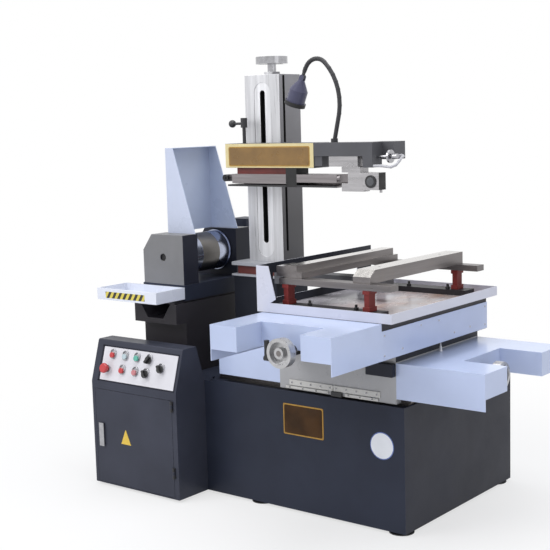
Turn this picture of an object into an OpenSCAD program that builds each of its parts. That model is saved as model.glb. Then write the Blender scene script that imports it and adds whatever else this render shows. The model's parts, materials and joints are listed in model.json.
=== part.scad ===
// Fast wire speed wire cutting machine with a cross table, a column with a tapering upper arm,
// a wire drum on its own carriage and an operating cabinet.
// Millimetres. X runs to the right along the front of the bed, Y runs to the back, Z is up.
// The origin is the middle of the machine's footprint on the floor.

/* [Bed] */
// Length of the base casting
bed_length = 1330; // [1320:5:1350]
// Depth of the base casting
bed_depth = 780; // [770:5:820]
// Height of the bed's machined top above the floor
bed_top = 450; // [430:5:480]
// Wall of the hollow base casting
bed_wall = 22; // [16:1:28]
// Top plate of the base casting
bed_deck = 30; // [20:1:40]
// Height of the levelling pads under the bed
pad_height = 10; // [8:1:16]
// Diameter of a levelling pad
pad_d = 90; // [70:5:110]

/* [Cabinet] */
// From the right side of the bed to the left side of the cabinet
cabinet_reach = 1370; // [1360:5:1380]
// Width of the cabinet
cabinet_width = 460; // [450:5:465]
// Depth of the cabinet in front of the bed
cabinet_depth = 165; // [150:5:180]
// Height of the cabinet's top
cabinet_top = 590; // [575:5:600]
// Height where the front starts to slope back
slope_start = 427; // [420:1:435]
// How far the sloping panel sets back at its top
slope_setback = 48; // [44:1:54]
// Sheet thickness of the cabinet
cabinet_sheet = 3; // [2:0.5:4]
// Distance of the door from the right side of the cabinet
door_right = 25; // [20:1:32]
// Height of the door
door_height = 385; // [376:1:390]
// Depth of the folded edge of the door
door_fold = 14; // [10:1:18]
// Diameter of a panel cut-out for a control
control_bore = 22; // [20:0.5:24]

/* [Cross slides] */
// Width of the middle slide casting
middle_width = 506; // [500:1:512]
// Depth of the middle slide casting
middle_depth = 575; // [565:1:585]
// Distance of its right face inside the right side of the bed
middle_inset = 37; // [34:1:42]
// Distance of its front face behind the front of the bed
middle_setback = 10; // [8:1:14]
// Length of the right cover's arms from the casting
right_cover_length = 340; // [330:5:350]
// Length of the left cover's arms from the casting
left_cover_length = 296; // [285:1:300]
// Width of the table slide casting over its side plates
table_width = 502; // [496:1:508]
// Depth of the table slide casting
table_depth = 724.5; // [716:0.5:730]
// How far the table slide leads the front of the bed
table_lead = 121.5; // [118:0.5:125]
// Length of the front cover's arms from the table slide
front_cover_length = 285.5; // [280:0.5:290]
// Sheet thickness of the covers and of the water tray
cover_sheet = 3; // [2:0.5:4]
// Diameter of the table lead screws
screw_d = 20; // [18:1:24]
// Diameter of the two table handwheels
table_wheel_d = 100; // [92:1:106]

/* [Water tray and work holders] */
// Width of the water tray
tray_width = 567; // [560:1:572]
// Depth of the water tray
tray_depth = 730; // [726:1:736]
// Height of the tray's rim above its floor
tray_rim = 34; // [30:1:38]
// Height of the tall wall beside the column above the tray's floor
tray_wall = 162; // [155:1:170]
// Height of a work holder post
post_height = 73; // [66:1:80]
// Width of a work holder post
post_width = 28; // [24:1:32]
// Depth of a work holder post
post_depth = 46; // [40:1:46]
// Length of the cross bars
bar_length = 466; // [460:1:470]
// Width of a cross bar
bar_width = 50; // [44:1:54]
// Thickness of a cross bar
bar_thickness = 22; // [18:1:24]
// Length of the work rails
rail_length = 625; // [610:5:640]
// Diameter of the clamp screw holes in the work rails
clamp_hole_d = 8.5; // [6.8:0.1:10.5]

/* [Column and arms] */
// Width of the column
column_width = 173; // [165:1:178]
// Depth of the column
column_depth = 134; // [128:1:140]
// Height of the column's top above the floor
column_top = 1620; // [1600:5:1640]
// Height of the flange that the column stands on
flange_top = 886; // [880:1:890]
// Width of the slot in the column's front
slot_width = 24; // [20:1:28]
// Diameter of the arm's lift screw
lift_screw_d = 22; // [18:1:26]
// Diameter of the handwheel on top of the column
column_wheel_d = 126; // [115:1:135]
// Length of the arm saddle across the column
saddle_length = 432; // [426:1:438]
// Height of the arm saddle
saddle_height = 94; // [90:1:98]
// Height of the upper arm saddle's underside above the floor
saddle_bottom = 1262; // [1240:1:1280]
// Height of the lower arm beam
lower_arm_height = 50; // [46:1:52]
// Width of the lower arm beam
lower_arm_width = 60; // [54:1:62]
// Diameter of the wire guide wheels
guide_wheel_d = 32; // [28:1:36]
// Diameter of the lamp's flexible stem
stem_d = 16; // [13:1:18]

/* [Wire drum] */
// Diameter of the wire drum
drum_d = 160; // [150:1:166]
// Length of the wire drum
drum_length = 230; // [220:1:240]
// Diameter of the drum shaft
drum_shaft_d = 30; // [26:1:34]
// Height of the drum's axis above its carriage
drum_rise = 106.7; // [104:0.1:110]
// Width of the bearing housings
housing_width = 218; // [210:1:224]
// Depth of a bearing housing
housing_depth = 88; // [80:1:92]
// Height of the bearing housings' tops above the drum's axis
housing_rise = 91; // [87:1:98]
// Width of the drum's pedestal
pedestal_width = 228; // [224:1:232]
// Height of the splash hood above the housings
hood_height = 341; // [320:1:350]
// Diameter of the drum motor
drum_motor_d = 150; // [130:1:158]

/* [Hidden] */
$fn = 64;

// Clearances and overruns shared by the whole machine
slide_gap = 0.3;
running_gap = 0.05;
cut = 1;

// Colours
light_blue = [0.74, 0.80, 0.93];
navy = [0.22, 0.23, 0.29];
grey_cast = [0.55, 0.55, 0.54];
steel = [0.72, 0.71, 0.69];
dark_grey = [0.35, 0.35, 0.36];
black = [0.09, 0.09, 0.10];
post_red = [0.60, 0.20, 0.17];

// Places along X and Y, from the bed's right side and front
cover_reach = right_cover_length - middle_inset;
front_reach = table_lead + front_cover_length;
bed_x1 = (cabinet_reach - cover_reach) / 2;
bed_x0 = bed_x1 - bed_length;
bed_y0 = (front_reach - bed_depth) / 2;
bed_y1 = bed_y0 + bed_depth;
cabinet_x0 = bed_x1 - cabinet_reach;
cabinet_y0 = bed_y0 - cabinet_depth;
middle_x1 = bed_x1 - middle_inset;
middle_x0 = middle_x1 - middle_width;
middle_y0 = bed_y0 + middle_setback;
middle_y1 = middle_y0 + middle_depth;
middle_x = (middle_x0 + middle_x1) / 2;
middle_y = (middle_y0 + middle_y1) / 2;
table_inset = 6.5;
table_x1 = bed_x1 - table_inset;
table_x0 = table_x1 - table_width;
table_x = (table_x0 + table_x1) / 2;
table_y0 = bed_y0 - table_lead;
table_y1 = table_y0 + table_depth;
base_setback = 238;
column_gap = 195;
column_x1 = middle_x0 - column_gap;
column_x0 = column_x1 - column_width;
column_x = (column_x0 + column_x1) / 2;
column_setback = 62;
column_y0 = bed_y0 + base_setback + column_setback;
column_y1 = column_y0 + column_depth;
column_y = (column_y0 + column_y1) / 2;
unit_setback = 50;
unit_y0 = bed_y0 + unit_setback;

// Heights, from the machined top of the bed upwards
way_height = 28;
rail_top = bed_top + way_height;
middle_height = 134;
middle_bottom = rail_top + slide_gap;
middle_top = rail_top + middle_height;
table_bottom = middle_top + way_height + slide_gap;
table_height = 128.7;
table_top = table_bottom + table_height;
tray_floor = 6;
tray_top = table_top + tray_rim;
strip_height = 26;
strip_top = table_top + strip_height;
bar_bottom = strip_top + post_height;
bar_top = bar_bottom + bar_thickness;
rail_height = 45;
rail_z1 = bar_top + rail_height;

// Lead screws: the lower one moves the middle slide, the upper one the table
x_screw_rise = 62;
y_screw_rise = 72;
x_screw_y = middle_y;
x_screw_z = rail_top + x_screw_rise;
y_screw_x = table_x;
y_screw_z = middle_top + y_screw_rise;
screw_bore = screw_d + 2 * running_gap;

// A box between two opposite corners
module span(a, b) {
    translate(a) cube(b - a);
}

// Round bars along the three directions
module bar_x(x0, x1, y, z, d) {
    translate([x0, y, z]) rotate([0, 90, 0]) cylinder(h = x1 - x0, d = d);
}
module bar_y(y0, y1, x, z, d) {
    translate([x, y0, z]) rotate([-90, 0, 0]) cylinder(h = y1 - y0, d = d);
}
module bar_z(z0, z1, x, y, d) {
    translate([x, y, z0]) cylinder(h = z1 - z0, d = d);
}

// A cylinder along Z with a bore right through it
module ring(d, bore, h) {
    difference() {
        cylinder(h = h, d = d);
        translate([0, 0, -cut]) cylinder(h = h + 2 * cut, d = bore);
    }
}

// BASE AND WAYS

bed_rib = 18;
rib_shares = [0.36, 0.68];
rim_width = 8;
rim_height = 8;
rim_reach = 905;
rim_radius = 45;
x_nut_length = 30;
x_nut_width = 60;
nut_wall = 22;

// One compartment of the hollow base, open at the floor
module bed_bay(x0, x1) {
    span([x0, bed_y0 + bed_wall, pad_height - cut], [x1, bed_y1 - bed_wall, bed_top - bed_deck]);
}

// The raised lip round the machined top, with a round front left corner
module drip_rim() {
    rim_x0 = bed_x1 - rim_reach;
    span([rim_x0 + rim_radius, bed_y0, bed_top], [bed_x1, bed_y0 + rim_width, bed_top + rim_height]);
    span([rim_x0 + rim_radius, bed_y1 - rim_width, bed_top], [bed_x1, bed_y1, bed_top + rim_height]);
    span([bed_x1 - rim_width, bed_y0, bed_top], [bed_x1, bed_y1, bed_top + rim_height]);
    translate([rim_x0 + rim_radius, bed_y0 + rim_radius, bed_top])
        rotate([0, 0, 180])
            rotate_extrude(angle = 90)
                translate([rim_radius - rim_width, 0])
                    square([rim_width, rim_height]);
}

module bed() {
    rib_1 = bed_x0 + bed_length * rib_shares[0];
    rib_2 = bed_x0 + bed_length * rib_shares[1];
    color(navy) difference() {
        union() {
            span([bed_x0, bed_y0, pad_height], [bed_x1, bed_y1, bed_top]);
            drip_rim();
            span([middle_x - x_nut_length / 2, x_screw_y - x_nut_width / 2, bed_top],
                [middle_x + x_nut_length / 2, x_screw_y + x_nut_width / 2, x_screw_z + nut_wall]);
        }
        bed_bay(bed_x0 + bed_wall, rib_1 - bed_rib / 2);
        bed_bay(rib_1 + bed_rib / 2, rib_2 - bed_rib / 2);
        bed_bay(rib_2 + bed_rib / 2, bed_x1 - bed_wall);
        bar_x(middle_x - x_nut_length / 2 - cut, middle_x + x_nut_length / 2 + cut, x_screw_y, x_screw_z,
            screw_bore);
    }
}

pad_step = 4;
pad_step_width = 12;

module foot_pads() {
    pad_xs = [bed_x0 + pad_d / 2, (bed_x0 + bed_x1) / 2, bed_x1 - pad_d / 2];
    pad_ys = [bed_y0 + pad_d / 2, bed_y1 - pad_d / 2];
    color(dark_grey) for (x = pad_xs, y = pad_ys) {
        bar_z(0, pad_step, x, y, pad_d);
        bar_z(pad_step, pad_height, x, y, pad_d - 2 * pad_step_width);
    }
}

rail_left_reach = 880;
rail_right_inset = 10;
rail_width = 60;
front_rail_setback = 55;
rear_rail_setback = 480;
rail_groove = 6;
rail_groove_low = 9;
rail_groove_high = 8;

// The two fixed ways of the middle slide, with a groove along each side
module x_rails() {
    x0 = bed_x1 - rail_left_reach;
    x1 = bed_x1 - rail_right_inset;
    color(steel) for (setback = [front_rail_setback, rear_rail_setback]) {
        y0 = bed_y0 + setback;
        difference() {
            span([x0, y0, bed_top], [x1, y0 + rail_width, rail_top]);
            span([x0 - cut, y0 - cut, bed_top + rail_groove_low],
                [x1 + cut, y0 + rail_groove, rail_top - rail_groove_high]);
            span([x0 - cut, y0 + rail_width - rail_groove, bed_top + rail_groove_low],
                [x1 + cut, y0 + rail_width + cut, rail_top - rail_groove_high]);
        }
    }
}

// MIDDLE SLIDE

middle_skirt = 13;
channel_front = 30;
middle_wall = 30;
cavity_front = 120;
middle_deck = 22;
way_offset = 190;
way_width = 60;
y_nut_length = 30;
y_nut_width = 60;
middle_x0_wall = middle_x0 + middle_wall;
middle_x1_wall = middle_x1 - middle_wall;

module middle_slide() {
    color(grey_cast) difference() {
        union() {
            span([middle_x0, middle_y0, rail_top - middle_skirt], [middle_x1, middle_y1, middle_top]);
            for (side = [-1, 1])
                span([table_x + side * way_offset - way_width / 2, middle_y0, middle_top],
                    [table_x + side * way_offset + way_width / 2, middle_y1, middle_top + way_height]);
            span([y_screw_x - y_nut_width / 2, middle_y - y_nut_length / 2, middle_top],
                [y_screw_x + y_nut_width / 2, middle_y + y_nut_length / 2, y_screw_z + nut_wall]);
        }
        span([middle_x0 - cut, middle_y0 + channel_front, rail_top - middle_skirt - cut],
            [middle_x1 + cut, middle_y1 - channel_front, middle_bottom]);
        span([middle_x0_wall, middle_y0 + cavity_front, rail_top - cut],
            [middle_x1_wall, middle_y1 - cavity_front, middle_top - middle_deck]);
        bar_x(middle_x0 - cut, middle_x1 + cut, x_screw_y, x_screw_z, screw_bore);
        bar_y(middle_y - y_nut_length / 2 - cut, middle_y + y_nut_length / 2 + cut, y_screw_x, y_screw_z,
            screw_bore);
    }
}

notch_front = 153;
notch_rear = 160;
right_web = 176;
right_skirt = 40;
cover_rise = 46;
cover_top_gap = 3;
cover_z1 = middle_top - cover_top_gap;
cover_z0 = rail_top + cover_rise;
left_cover_rise = 4;
x_wheel_reach = 220;
x_wheel_x = bed_x1 + x_wheel_reach;
shaft_clearance = 10;

// The plan of the right cover, drawn in from its outer faces by a wall's thickness t
module right_plan(t) {
    x0 = middle_x1 - (t > 0 ? cut : 0);
    x1 = middle_x1 + right_cover_length - t;
    web = middle_x1 + right_web - t;
    y0 = middle_y0 + t;
    y1 = middle_y1 - t;
    n0 = middle_y0 + notch_front - t;
    n1 = middle_y1 - notch_rear + t;
    polygon([[x0, y0], [x1, y0], [x1, n0], [web, n0], [web, n1], [x1, n1], [x1, y1], [x0, y1]]);
}

module right_cover() {
    color(light_blue) difference() {
        union() {
            translate([0, 0, cover_z0]) linear_extrude(cover_z1 - cover_z0) right_plan(0);
            span([middle_x1, middle_y0, cover_z0 - right_skirt],
                [middle_x1 + right_cover_length, middle_y0 + cover_sheet, cover_z1]);
        }
        translate([0, 0, cover_z0 - cut]) linear_extrude(cover_z1 - cover_z0 - cover_sheet + cut)
            right_plan(cover_sheet);
        bar_x(middle_x1 + right_web - cover_sheet - cut, middle_x1 + right_web + cut, x_screw_y, x_screw_z,
            screw_d + shaft_clearance);
    }
}

base_gap_front = 75;
base_gap_rear = 7;

// The plan of the left cover, whose arms pass on both sides of the column's base
module left_plan(t) {
    x0 = middle_x0 - left_cover_length + t;
    x1 = middle_x0 + (t > 0 ? cut : 0);
    y0 = middle_y0 + t;
    y1 = middle_y1 - t;
    n0 = base_y0 - base_gap_front - t;
    n1 = base_y0 + base_lower_depth + base_gap_rear + t;
    polygon([[x0, y0], [x1, y0], [x1, n0], [x0, n0]]);
    polygon([[x0, n1], [x1, n1], [x1, y1], [x0, y1]]);
}

module left_cover() {
    z0 = rail_top + left_cover_rise;
    color(light_blue) difference() {
        union() {
            translate([0, 0, z0]) linear_extrude(cover_z1 - z0) left_plan(0);
            span([middle_x0 - cover_sheet, middle_y0, z0], [middle_x0, middle_y1, cover_z1]);
        }
        translate([0, 0, z0 - cut]) linear_extrude(cover_z1 - z0 - cover_sheet + cut) left_plan(cover_sheet);
        bar_x(middle_x0 - cover_sheet - cut, middle_x0 + cut, x_screw_y, x_screw_z, screw_d + shaft_clearance);
    }
}

motor_square = 86;
motor_length = 104;
motor_flange = 12;
motor_flange_square = 96;
x_motor_setback = 195;
y_motor_reach = 145;

// A square step motor on its flange, along Z from the origin
module step_motor() {
    translate([-motor_flange_square / 2, -motor_flange_square / 2, 0])
        cube([motor_flange_square, motor_flange_square, motor_flange]);
    translate([-motor_square / 2, -motor_square / 2, 0])
        cube([motor_square, motor_square, motor_length]);
}

module x_motor() {
    color(black) translate([middle_x1, middle_y0 + x_motor_setback - motor_square, x_screw_z])
        rotate([0, 90, 0]) step_motor();
}

screw_journal = 6;

module x_screw() {
    color(steel) bar_x(middle_x0 - screw_journal, x_wheel_x, x_screw_y, x_screw_z, screw_d);
}

table_wheel_width = 30;
wheel_rim = 12;
wheel_hub_d = 38;
wheel_web = 8;
wheel_collar_d = 58;
wheel_collar = 22;

// A table handwheel, its face at the origin looking down -Z, with its dial collar behind it
module table_wheel() {
    difference() {
        cylinder(h = table_wheel_width, d = table_wheel_d);
        translate([0, 0, -cut]) ring(table_wheel_d - 2 * wheel_rim, wheel_hub_d,
            table_wheel_width - wheel_web + cut);
        translate([0, 0, -cut]) cylinder(h = table_wheel_width + 2 * cut, d = screw_bore);
    }
    translate([0, 0, table_wheel_width]) ring(wheel_collar_d, screw_bore, wheel_collar);
}

module x_handwheel() {
    color(steel) translate([x_wheel_x, x_screw_y, x_screw_z]) rotate([0, -90, 0]) table_wheel();
}

// TABLE SLIDE

side_plate = 3.5;
side_plate_rise = 2;
side_plate_height = 100;
table_side_wall = 98;
table_end_wall = 26;
table_deck = 29;
strip_inset = 29;
strip_right_inset = 34;
strip_depth = 70;
seat_gap = 0.5;

// Places of the two raised strips that carry the posts through the tray's floor
strip_x0 = table_x0 + strip_inset;
strip_x1 = table_x1 - strip_right_inset;
post_front_lead = 83;
post_front_y = bed_y0 - post_front_lead;
post_rear_setback = 508;
post_rear_y = bed_y0 + post_rear_setback;
strip_edge = (strip_depth - post_depth) / 2;
strip_ys = [post_front_y - strip_edge, post_rear_y - strip_edge];

module table_slide() {
    x0 = table_x0 + side_plate;
    x1 = table_x1 - side_plate;
    color(navy) difference() {
        union() {
            span([x0, table_y0, table_bottom], [x1, table_y1, table_top]);
            for (y = strip_ys)
                span([strip_x0, y, table_top], [strip_x1, y + strip_depth, strip_top]);
        }
        span([table_x0 + table_side_wall, table_y0 + table_end_wall, table_bottom - cut],
            [table_x1 - table_side_wall, table_y1 - table_end_wall, table_top - table_deck]);
        bar_y(table_y0 - cut, table_y1 + cut, y_screw_x, y_screw_z, screw_bore);
    }
}

module side_plates() {
    z0 = table_bottom + side_plate_rise;
    color(light_blue) for (x = [table_x0, table_x1 - side_plate])
        span([x, table_y0, z0], [x + side_plate, table_y1, z0 + side_plate_height]);
}

front_left_arm = 116;
front_right_arm = 120;
front_web = 152.5;
front_top_gap = 1;
front_cover_height = 85;
front_skirt = 40;

// The plan of the front cover, drawn in from its outer faces by a wall's thickness t
module front_plan(t) {
    x0 = table_x0 + t;
    x1 = table_x1 - t;
    y0 = table_y0 - front_cover_length + t;
    y1 = table_y0 + (t > 0 ? cut : 0);
    n0 = table_x0 + front_left_arm - t;
    n1 = table_x1 - front_right_arm + t;
    web = table_y0 - front_web + t;
    polygon([[x0, y1], [x0, y0], [n0, y0], [n0, web], [n1, web], [n1, y0], [x1, y0], [x1, y1]]);
}

module front_cover() {
    z1 = table_top - front_top_gap;
    z0 = z1 - front_cover_height;
    color(light_blue) difference() {
        union() {
            translate([0, 0, z0]) linear_extrude(z1 - z0) front_plan(0);
            for (x = [table_x0, table_x1 - cover_sheet])
                span([x, table_y0 - front_cover_length, z0 - front_skirt], [x + cover_sheet, table_y0, z1]);
        }
        translate([0, 0, z0 - cut]) linear_extrude(z1 - z0 - cover_sheet + cut) front_plan(cover_sheet);
        bar_y(table_y0 - front_web - cut, table_y0 - front_web + cover_sheet + cut, y_screw_x, y_screw_z,
            screw_d + shaft_clearance);
    }
}

module y_motor() {
    color(black) translate([table_x0 + y_motor_reach, table_y0, y_screw_z])
        rotate([90, 0, 0]) step_motor();
}

y_wheel_reach = 355;
y_wheel_y = bed_y0 - y_wheel_reach;

module y_screw() {
    color(steel) bar_y(y_wheel_y, table_y1 + screw_journal, y_screw_x, y_screw_z, screw_d);
}

crank_pin_d = 8;
crank_d = 18;
crank_length = 61;
crank_knuckle = 20;
crank_gap = 0.5;
crank_drop = 24;

// The radial pin on the wheel's left side that the folding crank turns on
crank_x1 = y_screw_x - table_wheel_d / 2 - crank_gap;
crank_x0 = crank_x1 - crank_knuckle;
crank_y = y_wheel_y + table_wheel_width / 2;
crank_z = y_screw_z - crank_drop;

module y_handwheel() {
    color(steel) union() {
        translate([y_screw_x, y_wheel_y, y_screw_z]) rotate([-90, 0, 0]) table_wheel();
        bar_x(crank_x0 - crank_gap, y_screw_x - table_wheel_d / 2 + wheel_rim / 2, crank_y, crank_z,
            crank_pin_d);
    }
}

module y_crank() {
    color(black) difference() {
        union() {
            bar_x(crank_x0, crank_x1, crank_y, crank_z, crank_d);
            bar_z(crank_z, crank_z + crank_length, (crank_x0 + crank_x1) / 2, crank_y, crank_d);
        }
        bar_x(crank_x0 - cut, crank_x1 + cut, crank_y, crank_z, crank_pin_d + 2 * running_gap);
    }
}

// WATER TRAY AND WORK HOLDERS

tray_overhang = 33;
tray_x1 = bed_x1 + tray_overhang;
tray_x0 = tray_x1 - tray_width;
tray_y0 = table_y0;
tray_y1 = tray_y0 + tray_depth;
tray_wall_top = table_top + tray_floor / 2 + tray_wall;
gusset_foot = 85;
gusset_head = 55;
gusset_rise = 48;
arm_slot_front = 92;
arm_slot_rear = 100;
arm_slot_sill = 36;
arm_slot_lintel = 38;
drain_d = 20;
drain_inset = 18;
drain_rear = 32;

module water_tray() {
    color([0.80, 0.80, 0.84]) difference() {
        union() {
            span([tray_x0, tray_y0, table_top], [tray_x1, tray_y1, tray_top]);
            span([tray_x0, tray_y0, table_top], [tray_x0 + cover_sheet, tray_y1, tray_wall_top]);
            translate([0, tray_y0 + cover_sheet, 0]) rotate([90, 0, 0]) linear_extrude(cover_sheet)
                polygon([[tray_x0, table_top], [tray_x0 + gusset_foot, table_top + gusset_rise],
                    [tray_x0 + gusset_head, tray_wall_top], [tray_x0, tray_wall_top]]);
        }
        span([tray_x0 + cover_sheet, tray_y0 + cover_sheet, table_top + tray_floor],
            [tray_x1 - cover_sheet, tray_y1 - cover_sheet, tray_top + cut]);
        span([tray_x0 - cut, tray_y0 + arm_slot_front, table_top + arm_slot_sill],
            [tray_x0 + cover_sheet + cut, tray_y1 - arm_slot_rear, tray_wall_top - arm_slot_lintel]);
        for (y = strip_ys)
            span([strip_x0 - seat_gap, y - seat_gap, table_top - cut],
                [strip_x1 + seat_gap, y + strip_depth + seat_gap, strip_top + cut]);
        bar_z(table_top - cut, table_top + tray_floor + cut, tray_x1 - drain_inset, tray_y1 - drain_rear,
            drain_d);
    }
}

post_left_reach = 449;
post_left_x = bed_x1 - post_left_reach;
post_right_reach = 107;
post_right_x = bed_x1 - post_right_reach;
post_waist = 4;
post_head = 14;
post_foot = 16;

module work_post() {
    cube([post_width, post_depth, post_foot]);
    translate([post_waist, post_waist, post_foot])
        cube([post_width - 2 * post_waist, post_depth - 2 * post_waist, post_height - post_foot - post_head]);
    translate([0, 0, post_height - post_head]) cube([post_width, post_depth, post_head]);
}

module work_posts() {
    color(post_red) for (x = [post_left_x, post_right_x], y = [post_front_y, post_rear_y])
        translate([x, y, strip_top]) work_post();
}

bar_end = 11;
bar_edge = (bar_width - post_depth) / 2;
bar_x0 = post_left_x - bar_end;

module cross_bars() {
    color(steel) for (y = [post_front_y, post_rear_y])
        span([bar_x0, y - bar_edge, bar_bottom], [bar_x0 + bar_length, y + bar_width - bar_edge, bar_top]);
}

rail_front_lead = 78;
rail_y0 = bed_y0 - rail_front_lead;
left_rail_reach = 440;
left_rail_x = bed_x1 - left_rail_reach;
left_rail_width = 75;
left_rail_base = 22;
left_rail_inset = 4;
left_rail_top = 50;
stop_block_width = 36;
stop_block_depth = 96;
stop_block_drop = 4;
right_rail_reach = 148;
right_rail_x = bed_x1 - right_rail_reach;
right_rail_width = 70;
right_rail_nose = 30;
clamp_hole_depth = 30;
clamp_hole_inset = 110;
clamp_left_x = left_rail_x + left_rail_inset + left_rail_top / 2;
clamp_right_x = right_rail_x + right_rail_width / 2;

// The blind screw holes for work clamps along the top of a rail
module clamp_holes(x) {
    for (y = [rail_y0 + clamp_hole_inset, rail_y0 + rail_length - clamp_hole_inset])
        bar_z(rail_z1 - clamp_hole_depth, rail_z1 + cut, x, y, clamp_hole_d);
}

module left_rail() {
    color(steel) difference() {
        union() {
            translate([left_rail_x, rail_y0, bar_top])
                cube([left_rail_width, rail_length, left_rail_base]);
            translate([left_rail_x + left_rail_inset, rail_y0, bar_top])
                cube([left_rail_top, rail_length, rail_height]);
            span([left_rail_x - stop_block_width, rail_y0, bar_top + stop_block_drop],
                [left_rail_x + left_rail_inset, rail_y0 + stop_block_depth, rail_z1 - stop_block_drop]);
        }
        clamp_holes(clamp_left_x);
    }
}

module right_rail() {
    color(steel) difference() {
        translate([right_rail_x + right_rail_width, rail_y0, bar_top])
            rotate([0, -90, 0]) linear_extrude(right_rail_width)
                polygon([[0, 0], [rail_height / 2, 0], [rail_height, right_rail_nose],
                    [rail_height, rail_length], [0, rail_length]]);
        clamp_holes(clamp_right_x);
    }
}

// COLUMN AND LOWER ARM

base_lead = 34;
base_width = 217;
base_x0 = column_x0 - base_lead;
base_x1 = base_x0 + base_width;
base_y0 = bed_y0 + base_setback;
base_lower_depth = 180;
base_upper_depth = 202;
base_step_rise = 40;
base_wall = 16;
base_deck = 24;
neck_height = 34;
neck_inset = 12;
base_plate = 8;
flange_plate = 14;
flange_overhang = 6;
neck_z0 = flange_top - flange_plate - neck_height;

module column_base() {
    y1 = base_y0 + base_upper_depth;
    color(navy) difference() {
        union() {
            span([base_x0, base_y0, bed_top], [base_x1, base_y0 + base_lower_depth, neck_z0]);
            span([base_x0, base_y0, middle_top + base_step_rise], [base_x1, y1, neck_z0 - base_plate]);
            span([base_x0 - flange_overhang, base_y0 - flange_overhang, neck_z0 - base_plate],
                [base_x1, y1, neck_z0]);
            span([base_x0 + neck_inset, base_y0 + neck_inset, neck_z0],
                [base_x1, y1 - neck_inset, flange_top - flange_plate]);
            span([base_x0 - flange_overhang, base_y0 - flange_overhang, flange_top - flange_plate],
                [base_x1 + flange_overhang, y1, flange_top]);
        }
        span([base_x0 + base_wall, base_y0 + base_wall, bed_top - cut],
            [base_x1 - base_wall, base_y0 + base_lower_depth - base_wall, neck_z0 - base_plate - base_deck]);
    }
}

column_wall = 20;
column_front_wall = 24;
column_floor = 24;
column_roof = 20;
slot_low = 74;
slot_high = 60;
groove_width = 12;
groove_depth = 8;
groove_setback = 22;
groove_low = 44;
groove_high = 5;
inset_width = 80;
inset_depth = 2;
inset_low = 18;
inset_high = 30;
screw_plate_d = 63;
screw_plate = 12;
screw_pivot = 12;
lift_x = column_x;
lift_y = column_y;

// A plate with round ends, standing along Z, its middle line on the origin
module stadium(width, height) {
    translate([-width / 2, width / 2]) square([width, height - width]);
    translate([0, width / 2]) circle(d = width);
    translate([0, height - width / 2]) circle(d = width);
}

// A stadium cut into the column's front between two heights
module front_pocket(width, z0, z1, depth) {
    translate([column_x, column_y0 + depth, z0]) rotate([90, 0, 0])
        linear_extrude(depth + cut) stadium(width, z1 - z0);
}

module column() {
    color([0.80, 0.80, 0.80]) difference() {
        union() {
            span([column_x0, column_y0, flange_top], [column_x1, column_y1, column_top]);
            bar_z(column_top, column_top + screw_plate, lift_x, lift_y, screw_plate_d);
        }
        span([column_x0 + column_wall, column_y0 + column_front_wall, flange_top + column_floor],
            [column_x1 - column_wall, column_y1 - column_wall, column_top - column_roof]);
        front_pocket(inset_width, flange_top + inset_low, column_top - inset_high, inset_depth);
        front_pocket(slot_width, flange_top + slot_low, column_top - slot_high, column_front_wall + cut);
        for (x = [column_x0 - cut, column_x1 - groove_depth])
            span([x, column_y0 + groove_setback, flange_top + groove_low],
                [x + groove_depth + cut, column_y0 + groove_setback + groove_width, column_top - groove_high]);
        bar_z(column_top - column_roof - cut, column_top + screw_plate + cut, lift_x, lift_y,
            lift_screw_d + 2 * running_gap);
        bar_z(flange_top + column_floor - screw_pivot, flange_top + column_floor + cut, lift_x, lift_y,
            lift_screw_d + 2 * running_gap);
    }
}

top_wheel_rise = 43;
top_wheel_width = 28;
top_wheel_rim = 13;
top_wheel_web = 8;
top_wheel_neck = 34;
top_wheel_seat = 0.5;
top_wheel_z = column_top + screw_plate + top_wheel_seat;
top_wheel_z1 = column_top + top_wheel_rise + top_wheel_width;
window_share = 0.6;
window_count = 5;
window_d = 30;

module column_handwheel() {
    z0 = column_top + top_wheel_rise;
    color(steel) difference() {
        union() {
            bar_z(top_wheel_z, z0 + top_wheel_web, lift_x, lift_y, top_wheel_neck);
            bar_z(z0, top_wheel_z1, lift_x, lift_y, column_wheel_d);
        }
        translate([lift_x, lift_y, z0 + top_wheel_web])
            ring(column_wheel_d - 2 * top_wheel_rim, top_wheel_neck, top_wheel_width - top_wheel_web + cut);
        for (i = [0 : window_count - 1])
            translate([lift_x, lift_y, 0]) rotate([0, 0, i * 360 / window_count])
                bar_z(z0 - cut, top_wheel_z1 + cut, column_wheel_d / 2 * window_share, 0, window_d);
        bar_z(top_wheel_z - cut, top_wheel_z1 + cut, lift_x, lift_y, lift_screw_d + 2 * running_gap);
    }
}

module lift_screw() {
    color(steel) bar_z(flange_top + column_floor - screw_pivot + top_wheel_seat, top_wheel_z1, lift_x, lift_y,
        lift_screw_d);
}

arm_setback = 225;
arm_y0 = bed_y0 + arm_setback;
arm_y1 = arm_y0 + lower_arm_width;
wire_line_y = (arm_y0 + arm_y1) / 2;
lower_arm_drop = 24;
lower_arm_z1 = flange_top - lower_arm_drop;
lower_arm_z0 = lower_arm_z1 - lower_arm_height;
arm_tip = 24;
wheel_slot = 14;
guide_wheel_width = 9;
guide_groove = 3;
guide_shaft_d = 8;
nozzle_d = 20;
nozzle_height = 12;
nozzle_bore = 3;
nozzle_skirt = 4;
nozzle_reach = 241;
wire_x = bed_x1 - nozzle_reach;
lower_wheel_z = (lower_arm_z0 + lower_arm_z1) / 2;

// A wire guide wheel along Y with its shaft, which reaches out in front of and behind its middle
module guide_wheel(d, front, rear) {
    half = guide_wheel_width / 2;
    rotate([90, 0, 0]) rotate_extrude()
        polygon([[0, -rear], [guide_shaft_d / 2, -rear], [guide_shaft_d / 2, -half], [d / 2, -half],
            [d / 2 - guide_groove, 0], [d / 2, half], [guide_shaft_d / 2, half],
            [guide_shaft_d / 2, front], [0, front]]);
}

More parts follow.
